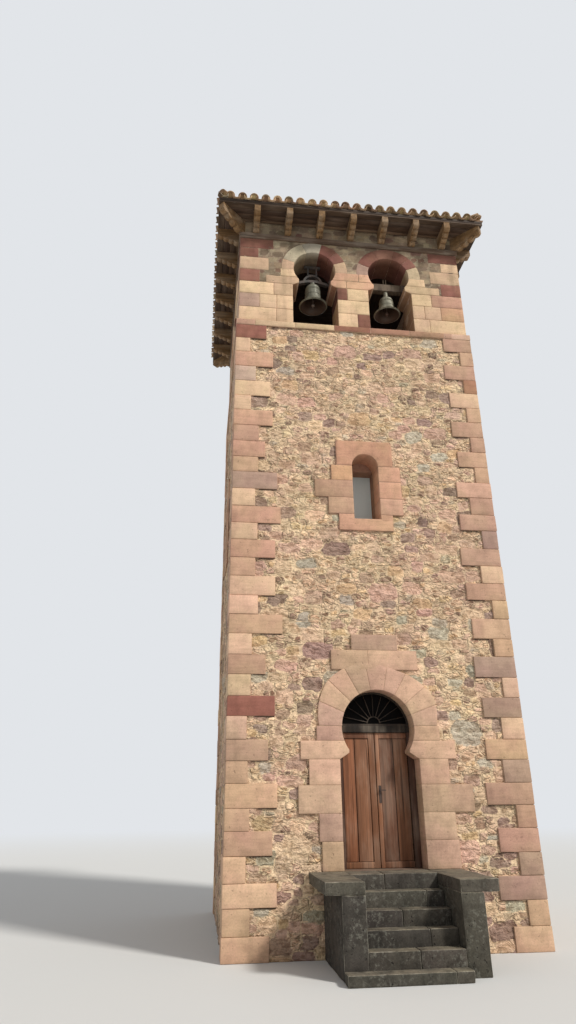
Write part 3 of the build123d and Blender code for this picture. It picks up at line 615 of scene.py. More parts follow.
def stone_blocks(low, high, soften, cuts, rough, seed):
    """Many dressed blocks at once, between low and high corners: a block is its inner box pushed
    out by the rounding of its arrises, and its faces wander by a little noise."""
    place, push, quads, arris = block_form(cuts)
    low, high = np.asarray(low, float)[:, None], np.asarray(high, float)[:, None]
    points = (low + high) / 2 + place * ((high - low) / 2 - soften) + push * soften
    wander = noise(points, 0.21, seed) + 0.5 * noise(points, 0.08, seed + 1)
    points = points + push * (wander * rough)[..., None]
    return points, repeated(quads, points), np.tile(arris, len(points))


def turned_box(first, last, quarter):
    """The low and high corners of a box turned about the tower's axis."""
    ends = turned(np.array([first, last]), quarter)
    return ends.min(0), ends.max(0)


dressed_material = stone_material("dressed_stone", "tint", stain=0.4, beds=0.16, grain=0.45, streaks=0.2,
                                  arris=shade(206, 176, 148))
quoin_random = np.random.default_rng(5)
quoin_rows, quoin_colours, mortar_rows, cast_shadow_rows = [], [], [], []
for corner, known in enumerate(known_quoins):
    tops = np.linspace(wall_top, 0, quoin_courses + 1)
    tops[1:-1] += quoin_random.uniform(-0.012, 0.012, quoin_courses - 1)
    for course in range(quoin_courses):
        top, foot = tops[course:course + 2]
        here = quoin_turn * corner + course
        near, below = [quoin_lengths[row % len(quoin_lengths)] for row in (here, here + 1)]
        far, far_below = [max(quoin_pair - length, quoin_least) for length in (near, below)]
        colour = pick_shades(quoin_shades, 1, quoin_random)[0]
        quoin_colours.append(shade(*known[course]) if course < len(known) else colour)
        face, bed_face = body_half + quoin_random.uniform(-0.003, 0.006), bed_depth - body_half
        x, y = near - body_half, far - body_half
        quoin_rows.append(turned_box((-face, -face, foot + quoin_joint), (x, y, top - quoin_joint), corner))
        bed_end = x + bed_margin, y + bed_margin, top
        mortar_rows.append(turned_box((bed_face, bed_face, foot), bed_end, corner))
        # Painted shadow: under the end of a long quoin, past the short one below it, a thin dark block flush
        # with the rubble stands for the shadow the quoin casts.
        for face_side, long, short in ((0, near, below), (1, far, far_below)):
            if long < short + 0.08 or course == quoin_courses - 1:
                continue
            start = short + 0.012 + (long - short) * quoin_random.uniform(0, 0.3)
            shadow_low = [start - body_half, -wall_half - 0.0215, foot - quoin_random.uniform(0.007, 0.013)]
            shadow_high = [long - body_half - 0.008, -wall_half + 0.01, foot + 0.004]
            if face_side:
                shadow_low[:2], shadow_high[:2] = shadow_low[1::-1], shadow_high[1::-1]
            cast_shadow_rows.append(turned_box(shadow_low, shadow_high, corner))
points, faces, arris = stone_blocks(*zip(*quoin_rows), 0.007, (4, 4, 3), 0.0025, 31)
build_piece("quoin_stones", points, faces, dressed_material, "dressed_stone", replaces=("quoins",),
            tint=quoin_colours, arris=arris)
points, faces, arris = stone_blocks(*zip(*mortar_rows), 0.002, (1, 1, 1), 0.0, 32)
build_piece("quoin_mortar", points, faces, joint_material, "rubble")
# The dark blocks are painted shadow under the long quoins.
points, faces, arris = stone_blocks(*zip(*cast_shadow_rows), 0.002, (3, 1, 1), 0.001, 33)
painted_shadow_material = stone_material("quoin_painted_shadow", shade(70, 52, 41), beds=0.0)
build_piece("quoin_painted_shadows", points, faces, painted_shadow_material, "rubble")

# Doorway stones
# Dressed jambs and imposts of rose sandstone, with a ring of voussoirs over them in a horseshoe
# and two courses of hood stones. Thin joints, pointed almost flush.
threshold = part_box("ground_floor")[1].z
surround_shades = [((203, 166, 137), 6), ((192, 156, 129), 4), ((213, 176, 144), 4), ((184, 148, 127), 2)]
door_arch = {"jamb": 0.590, "impost": 1.435, "nose_low": 1.525, "nose": 0.452, "radius": 0.547, "centre": 1.873}
door_radius, door_ring = door_arch["radius"], 0.35
door_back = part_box("door_frame")[0].y - 0.002
stone_front = -body_half - 0.005
door_rows = [(-0.885, 1.075, 0.0, 0.365), (-0.915, 1.055, 0.365, 0.720), (-1.205, 1.355, 0.720, 1.090),
             (-1.045, 1.025, 1.090, 1.435), (-1.165, 1.150, 1.435, 1.690), (-0.925, 0.930, 1.690, 1.895)]
hood_stones = [(-0.675, -0.10, 2.715, 3.011), (-0.10, 0.675, 2.715, 3.011), (-0.350, 0.375, 3.011, 3.255)]
ring_joints = np.radians((-88, -67, -47, -29, -9, 12, 31, 52, 70, 88))
hood_line = [(-0.88, 0.0), (-0.88, 0.352), (-0.755, 0.652), (-0.515, 0.842), (0.305, 0.842), (0.695, 0.652),
             (0.905, 0.412), (0.895, 0.0)]
joint, close_joint = 0.002, 0.003


def horseshoe_edge(height, jamb, impost, nose_low, nose, radius, centre):
    """Half the opening's width at a height: the jamb, a slope in to the nose, then the circle."""
    lower = np.interp(height, [impost, nose_low], [jamb, nose])
    circle = np.sqrt(np.maximum(radius ** 2 - (height - centre) ** 2, 0))
    spring = centre - math.sqrt(radius ** 2 - nose ** 2)
    return np.where(height < spring, lower, circle)


def edge_to(points, outer, inner, edge):
    """Blocks stretched sideways so that the end at inner follows the edge of the opening."""
    share = (points[..., 0] - outer[:, None]) / (inner - outer)[:, None]
    return np.stack([outer[:, None] + share * (edge - outer[:, None]), points[..., 1], points[..., 2]], -1)


def bend_ring(points, radius, outer_radius, thickness, centre_x, centre_z):
    """Blocks bent round an arch: x is the length of arc at the inner radius, and z the share of
    the way to the outer radius."""
    angle = points[..., 0] / radius
    out = radius + points[..., 2] / thickness * (outer_radius(angle) - radius)
    return np.stack([centre_x + out * np.sin(angle), points[..., 1], centre_z + out * np.cos(angle)], -1)


def hood_radius(angle):
    """How far the outer edge of the hood lies from the centre of the arch."""
    across, up = np.array(hood_line).T
    return 1 / np.interp(angle, np.arctan2(across, up), 1 / np.hypot(across, up))


stone_random = np.random.default_rng(8)
groups = []
for mirror in (-1, 1):
    outer = np.array([row[mirror > 0] for row in door_rows])
    inner = np.full(len(door_rows), mirror * door_arch["jamb"])
    low = [(min(a, b) + joint, stone_front, row[2] + joint) for a, b, row in zip(outer, inner, door_rows)]
    high = [(max(a, b) - joint, door_back, row[3] - joint) for a, b, row in zip(outer, inner, door_rows)]
    points, faces, arris = stone_blocks(low, high, 0.006, (4, 3, 6), 0.003, 41)
    edge = mirror * (horseshoe_edge(points[..., 2], **door_arch) - close_joint)
    groups.append((edge_to(points, outer, inner, edge), faces, arris))
low = [(angle * door_radius + joint, stone_front, -close_joint) for angle in ring_joints[:-1]]
high = [(angle * door_radius - joint, door_back, door_ring) for angle in ring_joints[1:]]
points, faces, arris = stone_blocks(low, high, 0.005, (6, 3, 5), 0.003, 43)
groups.append((bend_ring(points, door_radius, hood_radius, door_ring, 0, door_arch["centre"]), faces, arris))
low = [(left + joint, stone_front, foot + joint) for left, right, foot, top in hood_stones]
high = [(right - joint, -wall_half + 0.1, top - joint) for left, right, foot, top in hood_stones]
groups.append(stone_blocks(low, high, 0.006, (4, 3, 4), 0.003, 44))


def join_groups(groups, shades, random, spread=0.05):
    """Groups of blocks as one set of points and faces, with a colour drawn for each block."""
    starts = np.cumsum([0] + [blocks.size // 3 for blocks, _, _ in groups])
    points = np.vstack([blocks.reshape(-1, 3) for blocks, _, _ in groups])
    faces = np.vstack([own + start for (_, own, _), start in zip(groups, starts)])
    colours = [np.repeat(pick_shades(shades, len(blocks), random, spread), blocks.shape[1], 0)
               for blocks, _, _ in groups]
    return points, faces, np.concatenate([arris for _, _, arris in groups]), np.vstack(colours)


points, faces, arris, colours = join_groups(groups, surround_shades, stone_random)
build_piece("door_stones", points + (door_x, 0, threshold), faces, dressed_material, "dressed_stone",
            tint=colours, arris=arris)
dress(("door_surround",), joint_material)

# Window stones
# A slit window at the back of a niche on each face: stepped jamb stones, a sill with upstands at
# its ends, and one large lintel cut to a round head. Dressed sandstone, bonded into the rubble.
window_shades = [((204, 164, 132), 3), ((196, 152, 122), 3), ((212, 174, 134), 2), ((190, 146, 118), 2)]
window_half, window_spring, window_back = 0.230, 0.990, -body_half + 0.380
window_rows = [(-0.597, 0.615, 0.697, 0.985), (-0.885, 0.620, 0.380, 0.697), (-0.660, 0.620, 0.080, 0.380)]
lintel_half, lintel_rise, lintel_depth = 0.492, 0.475, 0.30
sill_left, sill_right, sill_depth = -0.490, 0.430, 0.210
upstand_foot, upstand, upstand_proud = 0.03, 0.080, 0.0008
front_window_shades = [(206, 162, 120), (208, 160, 128), (184, 146, 118), (208, 160, 128), (194, 156, 126),
                       (208, 164, 134), (204, 158, 126), (204, 158, 126), (204, 158, 126), (198, 150, 118)]


def lintel_radius(angle):
    """The distance from the centre of the head to the square outside of the lintel."""
    side = lintel_half / np.maximum(np.abs(np.sin(angle)), 1e-6)
    return np.minimum(side, lintel_rise / np.maximum(np.cos(angle), 1e-6))


rows = []
for left, right, foot, top in window_rows:
    for start, stop in ((left + joint, close_joint - window_half), (window_half - close_joint, right - joint)):
        rows.append(((start, stone_front, foot + joint), (stop, window_back, top - joint)))
for start, stop, foot, top, proud in (
        (sill_left, sill_right, -sill_depth, close_joint, 0),
        (sill_left, close_joint - window_half, -upstand_foot, upstand, upstand_proud),
        (window_half - close_joint, sill_right, -upstand_foot, upstand, upstand_proud)):
    rows.append(((start, stone_front - proud, foot), (stop, window_back, top - joint)))
head_arc = math.pi / 2 * window_half
points, faces, arris = stone_blocks([(-head_arc, stone_front, -close_joint)],
                                    [(head_arc, window_back, lintel_depth)], 0.008, (24, 3, 5), 0.002, 52)
points = bend_ring(points, window_half, lintel_radius, lintel_depth, 0, window_spring)
groups = [stone_blocks(*zip(*rows), 0.010, (4, 3, 4), 0.003, 51), (points, faces, arris)]
block_sizes = np.concatenate([np.full(len(blocks), blocks.shape[1]) for blocks, _, _ in groups])
for quarter, side_name in enumerate(side_names):
    points, faces, arris, colours = join_groups(groups, window_shades, stone_random)
    if quarter == 0:
        colours = np.repeat([shade(*colour) for colour in front_window_shades], block_sizes, 0)
    build_piece(f"{side_name}_window_stones", turned(points + (window_x, 0, window_sill), quarter), faces,
                dressed_material, "dressed_stone", tint=colours, arris=arris)
dress(("window_surrounds",), stone_material("window_recess", shade(168, 130, 106), stain=0.4))

# Sill course
# One level course of long flat sandstones under the belfry, flush with the quoins. They lie on a
# thin bed of mortar all round the walls, and carry the belfry's piers.
sill_low, sill_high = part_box("sill_course")
sill_front, sill_back, last_end = -sill_high.x - 0.006, -1.62, sill_high.x - 0.36
sill_ends = [(-sill_high.x - 0.004, -1.90, rose_brown), (-1.90, -1.15, (208, 178, 140)),
             (-1.15, -0.41, (202, 172, 134)), (-0.41, 0.29, (148, 100, 78)), (0.29, 1.05, (170, 126, 100)),
             (1.05, 1.74, (172, 132, 104)), (1.74, last_end + joint, rose_brown)]
rows, colours = [], []
for quarter, (left, right, colour) in itertools.product(range(4), sill_ends):
    rows.append(turned_box((left + joint, sill_front, sill_low.z + joint),
                           (right - joint, sill_back, sill_high.z + 0.002), quarter))
    known = quarter == 0 or right > last_end
    colours.append(shade(*colour) if known else pick_shades(quoin_shades, 1, stone_random)[0])
points, faces, arris = stone_blocks(*zip(*rows), 0.009, (5, 3, 2), 0.002, 61)
build_piece("sill_stones", points, faces, dressed_material, "dressed_stone", tint=colours, arris=arris)
dress(("sill_course",), joint_material)

# Belfry stones
# Piers of squared blocks in three courses, imposts that reach in to a nose, and a horseshoe of
# voussoirs over each opening, cream and dark red mixed as they came from the quarry.
belfry_half, belfry_inner = -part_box("front_arches")[0].y, -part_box("front_arches")[1].y
belfry_foot, belfry_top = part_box("belfry_corner_piers")[0].z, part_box("front_arches")[1].z
belfry_front, belfry_back = -belfry_half - 0.009, -belfry_inner + 0.004
arch = {"jamb": 0.438, "impost": 11.101, "nose_low": 11.161, "nose": 0.315, "radius": 0.418, "centre": 11.523}
arch_jamb, arch_impost, arch_centre = arch["jamb"], arch["impost"], arch["centre"]
arch_x, arch_ring, arch_joint, ring_depth = 0.743, 0.65, 0.004, 0.2
impost_top, impost_left, impost_middle, impost_right = 11.285, -1.70, -0.12, 1.76
springer_top, springer_ends = 11.480, (-1.42, 0.13, 1.48)
corner_beds = (belfry_foot, 10.495, 10.815, arch_impost, 11.400, 11.700, 11.930, belfry_top)
corner_pair, pier_courses = 1.08, 3
tan, grey_cream, orange_tan, pale_tan = (204, 170, 136), (212, 190, 156), (206, 162, 124), (216, 182, 146)
brick_red, brick_rose, warm_brick = (132, 86, 70), (140, 92, 78), (150, 100, 82)
belfry_shades = [(cream, 5), (tan, 3), (grey_cream, 2), (salmon, 1.5), (mauve, 1), (brick_red, 1.2),
                 (orange_tan, 1)]
left_lengths = (0.70, 0.38, 0.65, 0.38, 0.55, 0.35, 0.65)
left_colours = (cream, mauve, cream, warm_brick, tan, brick_red, brick_red)
right_lengths = (0.70, 0.45, 0.62, 0.40, 0.60, 0.35, 0.60)
right_colours = (cream, orange_tan, salmon, warm_brick, tan, cream, brick_red)
middle_splits = ((0.07, cream, brick_red), (None, cream, cream), (-0.11, brick_red, cream))
impost_shade = (212, 166, 132)
ring_stones = {-1: [(-97, -72, tan), (-72, -22, (184, 170, 142)), (-22, 14, (180, 170, 148)),
                    (14, 44, brick_red), (44, 68, brick_rose), (68, 97, tan)],
               1: [(-97, -68, mauve), (-68, -26, brick_red), (-26, 14, (146, 100, 82)), (14, 44, brick_red),
                   (44, 66, brick_rose), (66, 97, (202, 176, 142))]}


def unseen_shade():
    """A colour drawn by weight, for a stone on the faces that the photograph doesn't show."""
    weights = np.array([weight for _, weight in belfry_shades])
    return belfry_shades[stone_random.choice(len(weights), p=weights / weights.sum())][0]


cut_stones, edge_stones, arch_stones = [], [], []
for quarter in range(4):
    front = quarter == 0
    near, far = (left_lengths, right_lengths) if quarter % 2 == 0 else [
        tuple(corner_pair - length for length in lengths) for lengths in (right_lengths, left_lengths)]
    for course, (bed, next_bed) in enumerate(zip(corner_beds[:-1], corner_beds[1:])):
        heights = bed + joint, next_bed - joint
        colour = left_colours[course] if front else right_colours[course] if quarter == 1 else unseen_shade()
        cut_stones.append((quarter, belfry_front, near[course] - belfry_half, belfry_front,
                           corner_pair - belfry_half - near[course], *heights, colour))
        if course >= pier_courses:
            continue
        for start, stop in ((near[course] - belfry_half, -arch_x - arch_jamb + arch_joint),
                            (arch_x + arch_jamb - arch_joint, belfry_half - far[course])):
            middle = start + (stop - start) * stone_random.uniform(0.4, 0.6)
            for a, b in [(start, middle), (middle, stop)] if stop - start > 0.5 else [(start, stop)]:
                shown = (cream, tan, pale_tan)[stone_random.integers(3)] if front else unseen_shade()
                cut_stones.append((quarter, a + joint, b - joint, belfry_front, belfry_back, *heights, shown))
        inner = arch_x - arch_jamb + arch_joint
        split, left_shade, right_shade = middle_splits[course]
        for a, b, shown in [(-inner, inner, left_shade)] if split is None else [
                (-inner, split - joint, left_shade), (split + joint, inner, right_shade)]:
            cut_stones.append((quarter, a, b, belfry_front, belfry_back, *heights,
                               shown if front else unseen_shade()))
    first = max(impost_left, near[pier_courses] - belfry_half + 2 * joint)
    last = min(impost_right, belfry_half - far[pier_courses] - 2 * joint)
    for bottom, top, ends in ((arch_impost, impost_top, (first, impost_middle, last)),
                              (impost_top, springer_top, springer_ends)):
        for centre, outer, side in ((-arch_x, ends[0], -1), (-arch_x, ends[1] - joint, 1),
                                    (arch_x, ends[1] + joint, -1), (arch_x, ends[2], 1)):
            shown = (tan, cream)[stone_random.integers(2)] if front else unseen_shade()
            shown = impost_shade if front and outer not in (ends[0], ends[2]) else shown
            edge_stones.append((quarter, centre, side, outer, bottom + joint, top - joint, shown))
    for side, stones in ring_stones.items():
        for start, stop, colour in stones:
            arch_stones.append((quarter, side * arch_x, math.radians(start), math.radians(stop),
                                colour if front else unseen_shade()))

rows = np.array([row[:7] for row in cut_stones])
points, faces, arris = stone_blocks(rows[:, [1, 3, 5]], rows[:, [2, 4, 6]], 0.011, (4, 3, 3), 0.003, 71)
for index, row in enumerate(cut_stones):
    points[index] = turned(points[index], row[0])
groups = [(points, faces, arris)]

low, high = [], []
for _, centre, side, outer, bottom, top, _ in edge_stones:
    inner = centre + side * arch_jamb
    low.append((min(outer, inner), belfry_front, bottom))
    high.append((max(outer, inner), belfry_back, top))
points, faces, arris = stone_blocks(low, high, 0.010, (4, 3, 6), 0.003, 72)
for index, (quarter, centre, side, outer, *_) in enumerate(edge_stones):
    edge = centre + side * (horseshoe_edge(points[index, :, 2], **arch) - arch_joint)
    inner = np.array([centre + side * arch_jamb])
    points[index] = turned(edge_to(points[index][None], np.array([outer]), inner, edge[None])[0], quarter)
groups.append((points, faces, arris))

low = [(start * arch["radius"] + joint / 4, belfry_front, -arch_joint) for _, _, start, _, _ in arch_stones]
high = [(stop * arch["radius"] - joint / 4, belfry_back, ring_depth) for _, _, _, stop, _ in arch_stones]
points, faces, arris = stone_blocks(low, high, 0.005, (6, 3, 3), 0.002, 73)
for index, (quarter, centre, *_) in enumerate(arch_stones):
    bent = bend_ring(points[index], arch["radius"], lambda angle: arch_ring, ring_depth, centre, arch_centre)
    points[index] = turned(bent, quarter)
groups.append((points, faces, arris * 0.2))
points, faces, arris, _ = join_groups(groups, belfry_shades, stone_random)
tints = np.array([shade(*row[-1]) for row in cut_stones + edge_stones + arch_stones])
tints[:, :3] *= 1 + stone_random.normal(0, 0.05, (len(tints), 1))
block_sizes = np.concatenate([np.full(len(blocks), blocks.shape[1]) for blocks, _, _ in groups])
tints = np.repeat(np.clip(tints, 0, 1), block_sizes, 0)
# Painted shade: every face not on the belfry's outer faces, in the openings' reveals and soffits, is darkened
# and browned.
tints[np.abs(points[:, :2]).max(1) < belfry_half - 0.0005, :3] *= (0.52, 0.43, 0.36)
belfry_material = stone_material("belfry_stone", "tint", stain=0.4, beds=0.15, grain=0.4, streaks=0.3,
                                 arris=shade(208, 182, 150))
build_piece("belfry_stones", points, faces, belfry_material, "belfry_stone", tint=tints, arris=arris)
dress(["belfry_corner_piers", "belfry_middle_piers"] + [f"{side_name}_arches" for side_name in side_names],
      joint_material)


def ring_hole(x, z):
    """Where a voussoir ring and its opening take the place of rubble."""
    return np.hypot(np.abs(x) - arch_x, z - arch_centre) < arch_ring - 0.05


def foot_hole(x, z):
    """Where the imposts under a ring take the place of rubble."""
    return (z < arch_centre) & (np.abs(np.abs(x) - arch_x) < 0.6)


spandrel_shades = [((142, 122, 98), 5), ((160, 136, 108), 4), ((126, 106, 86), 3), ((178, 156, 126), 2),
                   ((134, 102, 84), 1)]
spandrel_material = stone_material("spandrel_rubble", "tint", stain=0.6, beds=0.2, grain=0.6, streaks=0.4,
                                   relief=0.006, joints=shade(158, 140, 114))
spandrel_sizes = [(0.10, 0.2), (0.07, 0.35), (0.045, 0.4)]
spandrel_step = 0.03
for quarter, side_name in enumerate(side_names):
    rubble_skin(f"{side_name}_spandrels", quarter, belfry_half, rubble_reach, arch_impost + 0.02, belfry_top,
                spandrel_step, 21 + quarter, [ring_hole, foot_hole], spandrel_sizes, spandrel_shades,
                (0.001, 0.002, 0.006), spandrel_material, "belfry_stone")

# Timber eaves
# A wall plate, carved corbels that bear on it and run back into the walling, and boards laid over
# them with mitred corners. Old hardwood, dry and brown, greyed where the weather reaches it.
grey_wood = shade(158, 146, 130)[:3]


def timber_group():
    """Sawn timber with its grain along the third axis: fibres, darker rings, checks that have
    opened along the grain, and a bleached, dusty face."""
    group, given, gives = node_group("timber_grain", ("Tint",), ("Bleach",), True)

    def texture(stretch, detail, rough=0.55):
        """Cloudy noise, stretched along the grain."""
        return cloud(group, stretched(group, given["Vector"], stretch), 1.0, detail, rough)

    fibres = texture((70, 70, 1.6), 5, 0.65)
    rings = texture((16, 16, 0.5), 3)
    patches = texture((5, 5, 1.6), 4)
    split = ramped(group, texture((34, 34, 0.7), 2), 0.66, 0.72)
    light = product(group, ramped(group, fibres, 0.3, 0.7, 0.72, 1.12),
                    ramped(group, rings, 0.35, 0.65, 0.78, 1.12), ramped(group, patches, 0.3, 0.7, 0.80, 1.12),
                    times_plus(group, split, -0.65, 1.0))
    bleached = product(group, ramped(group, patches, 0.42, 0.68), given["Bleach"])
    seen = mixed(group, bleached, scaled(group, given["Tint"], light), scaled(group, grey_wood, light))
    height = times_plus(group, fibres, 0.5, product(group, rings, 0.4))
    group.links.new(seen, gives["Color"])
    group.links.new(ramped(group, fibres, 0.3, 0.7, 0.68, 0.86), gives["Roughness"])
    group.links.new(times_plus(group, split, -0.9, height), gives["Height"])
    return group


timber_grain = timber_group()


def timber_material(name, tint, run="up", bleach=0.3, relief=0.002):
    """Timber whose grain runs up, out from the tower, or round it."""
    material, tree, shader, coordinates = new_material(name, 0.3)
    place = coordinates["Object"]
    if run != "up":
        x, y, z = add(tree, "SeparateXYZ", {0: place}).outputs
        sideways = figure(tree, "GREATER_THAN", figure(tree, "ABSOLUTE", x), figure(tree, "ABSOLUTE", y))
        outward = times_plus(tree, sideways, figure(tree, "SUBTRACT", x, y), y)
        around = figure(tree, "SUBTRACT", figure(tree, "ADD", x, y), outward)
        ends = (around, z, outward) if run == "out" else (outward, z, around)
        place = add(tree, "CombineXYZ", dict(enumerate(ends))).outputs[0]
    if isinstance(tint, str):
        tint = attribute(tree, tint)["Color"]
    colour, rough, height = grouped(tree, timber_grain, Vector=place, Tint=tint, Bleach=bleach)
    surface(tree, shader, colour, rough, (height, relief))
    return material


def square_ring(profile):
    """A closed profile, of half width and height, run round the tower with mitred corners."""
    half_width, height = np.array(profile).T
    corners = np.array([(-1, -1), (1, -1), (1, 1), (-1, 1)])[:, None]
    points = np.stack([corners[..., 0] * half_width, corners[..., 1] * half_width,
                       np.broadcast_to(height, (4, len(height)))], -1)
    index = np.arange(4 * len(height)).reshape(4, -1)
    along = np.roll(index, -1, 0)
    quads = np.stack([index, along, np.roll(along, -1, 1), np.roll(index, -1, 1)], -1)
    return points.reshape(-1, 3), quads.reshape(-1, 4)


corbel_material = timber_material("corbel_timber", shade(136, 104, 68), "out", 0.35, 0.004)
dress(("eave_corbels", "corner_corbels"), corbel_material)
dress(("wall_plate",), timber_material("plate_timber", shade(112, 90, 72), "round", 0.5, 0.004))
soffit_low, soffit_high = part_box("eave_soffit")
board_edges = np.linspace(soffit_high.x - 0.66, soffit_high.x, 6)
board_shades = [((98, 74, 56), 3), ((84, 64, 50), 3), ((112, 88, 68), 2)]
half_gap, board_arris = 0.003, 0.003
board_random = np.random.default_rng(4)
groups = []
for inner, outer in zip(board_edges[:-1] + half_gap, board_edges[1:] - half_gap):
    bottom, top = soffit_low.z + board_random.uniform(0, 0.004), soffit_high.z
    points, faces = square_ring([(outer - board_arris, bottom), (outer, bottom + board_arris), (outer, top),
                                 (inner, top), (inner, bottom + board_arris), (inner + board_arris, bottom)])
    groups.append((points[None], faces, np.zeros(len(points))))
points, faces, _, colours = join_groups(groups, board_shades, board_random, 0.1)
build_piece("soffit_boards", points, faces, timber_material("soffit_timber", "tint", "round", 0.15, 0.003),
            "eave_timber", replaces=("eave_soffit",), tint=colours)
plate_top, eave_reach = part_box("wall_plate")[1].z, 2.19
for quarter, side_name in enumerate(side_names):
    rubble_skin(f"{side_name}_eave_rubble", quarter, belfry_half, eave_reach, plate_top + joint,
                soffit_low.z - joint, spandrel_step, 31 + quarter, [], [(0.09, 0.4), (0.055, 0.4)],
                spandrel_shades, (0.001, 0.003, 0.010), spandrel_material, "belfry_stone")
dress(("eave_wall",), joint_material)

# Roof
# Barrel tiles bedded in mortar over boards: rows of pans that reach past the boards at the eaves,
# with covers over their joints, larger tiles down the hips and a dab of mortar on the apex.
# Made by hand, so no two lie quite alike; faded terracotta, darker where lichen has taken hold.
roof_low, roof_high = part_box("front_roof")
roof_half, roof_foot = roof_high.x, roof_low.z
eave_crest, apex_crest = 12.855, roof_high.z - 0.050
apex_gap, rim = 0.10, 0.002
tile_pitch, tile_length, tile_show, tile_shell, first_crest = 0.229, 0.42, 0.33, 0.013, -2.208
tile_drop, tile_taper, tile_courses = 0.016, 0.14, 10
cover_half, cover_rise, pan_half, pan_rise, pan_lift = 0.088, 0.090, 0.088, 0.080, 0.006
cover_start, pan_start = 0.030, -0.038
hip_half, hip_rise, hip_length, hip_show, hip_lift = 0.102, 0.092, 0.45, 0.37, 0.045
tile_shades = [((200, 166, 128), 5), ((182, 146, 112), 4), ((158, 124, 96), 3), ((212, 186, 148), 2.5),
               ((140, 112, 88), 1.5), ((168, 150, 122), 1)]
roof_slant = math.atan2(apex_crest - eave_crest, roof_half)


def closed_skin(index):
    """The faces of a closed shape from its rings of points: the sides, and at each end a cap
    folded across the ring."""
    count = index.shape[1]
    fold = np.arange(count // 2 - 1)
    cap = np.stack([fold, count - 1 - fold, count - 2 - fold, fold + 1], -1)
    return np.vstack([strips(index, np.roll(index, -1, 1)), index[0][cap], index[-1][cap[:, ::-1]]])


def tile_form(across, along):
    """A barrel tile as a shell: each point's share round the arc from -1 to 1, its share of the
    length, and 0 on the back or 1 on the hollow side."""
    arc = np.linspace(-1, 1, across + 1)
    form = np.stack(np.broadcast_arrays(np.concatenate([arc, arc[::-1]]), np.linspace(0, 1, along + 1)[:, None],
                                        np.repeat([0.0, 1.0], across + 1)), -1)
    return form.reshape(-1, 3), closed_skin(np.arange(form.size // 3).reshape(form.shape[:2]))


def lay_tiles(centre, start, half_width, rise, base, length, drop, narrow, across=8, hollow_up=False):
    """Tiles on a slope: across it, up it and out from it. Each sits a little askew."""
    form, quads = tile_form(across, 3)
    share, up, inside = form.T
    one_each = len(centre), 1
    size = 1 - narrow * (1 - up if hollow_up else up)
    side = -1 if hollow_up else 1
    angle = share * math.pi / 2
    askew = roof_random.normal(0, 0.004, one_each) + roof_random.normal(0, 0.010, one_each) * up
    slip = roof_random.normal(0, 0.006, one_each)
    lift = roof_random.uniform(0, 0.006, one_each)
    x = centre[:, None] + askew + (half_width - inside * tile_shell) * size * np.sin(angle)
    t = start[:, None] + np.abs(slip) + up * length
    n = base - drop * up + lift + side * (rise - inside * tile_shell) * size * np.cos(angle)
    return np.stack([x, t, n], -1), quads[:, ::side]


def on_slope(local):
    """From slope measures to the front slope's place in the tower, held inside its two hips and
    short of the apex."""
    x, t, n = np.moveaxis(local, -1, 0)
    t = np.minimum(t, (roof_half - apex_gap) / math.cos(roof_slant))
    y = np.maximum(t * math.cos(roof_slant) - n * math.sin(roof_slant) - roof_half, rim - roof_half)
    z = eave_crest + t * math.sin(roof_slant) + n * math.cos(roof_slant)
    reach = np.maximum(-y, 0)
    kept = (np.abs(x) < reach).any(1)
    return np.stack([np.clip(x, -reach, reach), y, z], -1)[kept]


roof_material = stone_material("roof_tile", "tint", stain=0.7, beds=0.0, grain=0.7, streaks=0.3, relief=0.003,
                               lichen=shade(150, 142, 120))
roof_random = np.random.default_rng(9)
crests = first_crest + tile_pitch * np.arange(-1, 22)
for quarter, side_name in enumerate(side_names):
    groups = []
    for columns, first, half_width, rise, base, hollow_up in (
            (crests - tile_pitch / 2, pan_start, pan_half, pan_rise, -cover_rise + pan_lift, True),
            (crests, cover_start, cover_half, cover_rise, -cover_rise, False)):
        centre, course = [grid.ravel() for grid in np.meshgrid(columns, np.arange(tile_courses))]
        local, faces = lay_tiles(centre, first + course * tile_show, half_width, rise, base, tile_length,
                                 tile_drop, tile_taper, hollow_up=hollow_up)
        points = on_slope(local)
        groups.append((points, repeated(faces, points), np.zeros(points.size // 3)))
    points, faces, _, colours = join_groups(groups, tile_shades, roof_random, 0.08)
    build_piece(f"{side_name}_tiles", turned(points, quarter), faces, roof_material, "roof_tile",
                replaces=(f"{side_name}_roof",), tint=colours)

hip_slant = math.atan(math.tan(roof_slant) / math.sqrt(2))
hip_start = roof_half - hip_half / math.sqrt(2) - 0.012
hip_courses = np.arange(int((hip_start * math.sqrt(2) / math.cos(hip_slant) - 0.25) / hip_show) + 1)
hip_drop, hip_taper, lining, lining_start, lining_less = 0.018, 0.12, 0.86, 0.03, 0.05


def on_hip(local):
    """From measures along a hip, up it and out from it, to the front left hip's place."""
    x, t, n = np.moveaxis(local, -1, 0)
    along = t * math.cos(hip_slant) - n * math.sin(hip_slant)
    return np.stack([(along + x) / math.sqrt(2) - hip_start, (along - x) / math.sqrt(2) - hip_start,
                     eave_crest + (roof_half - hip_start) * math.tan(roof_slant) + t * math.sin(hip_slant)
                     + n * math.cos(hip_slant)], -1)


groups = []
for quarter, under in itertools.product(range(4), (False, True)):
    scale = lining if under else 1.0
    local, faces = lay_tiles(np.zeros(len(hip_courses)), hip_courses * hip_show + lining_start * under,
                             hip_half * scale, hip_rise * scale, hip_lift - hip_rise - 0.004,
                             hip_length - lining_less * under, hip_drop, hip_taper, across=12)
    points = on_hip(local)
    groups.append((turned(points, quarter), repeated(faces, points), np.zeros(points.size // 3)))
points, faces, _, colours = join_groups(groups, tile_shades, roof_random, 0.08)
build_piece("hip_tiles", points, faces, roof_material, "roof_tile", tint=colours)

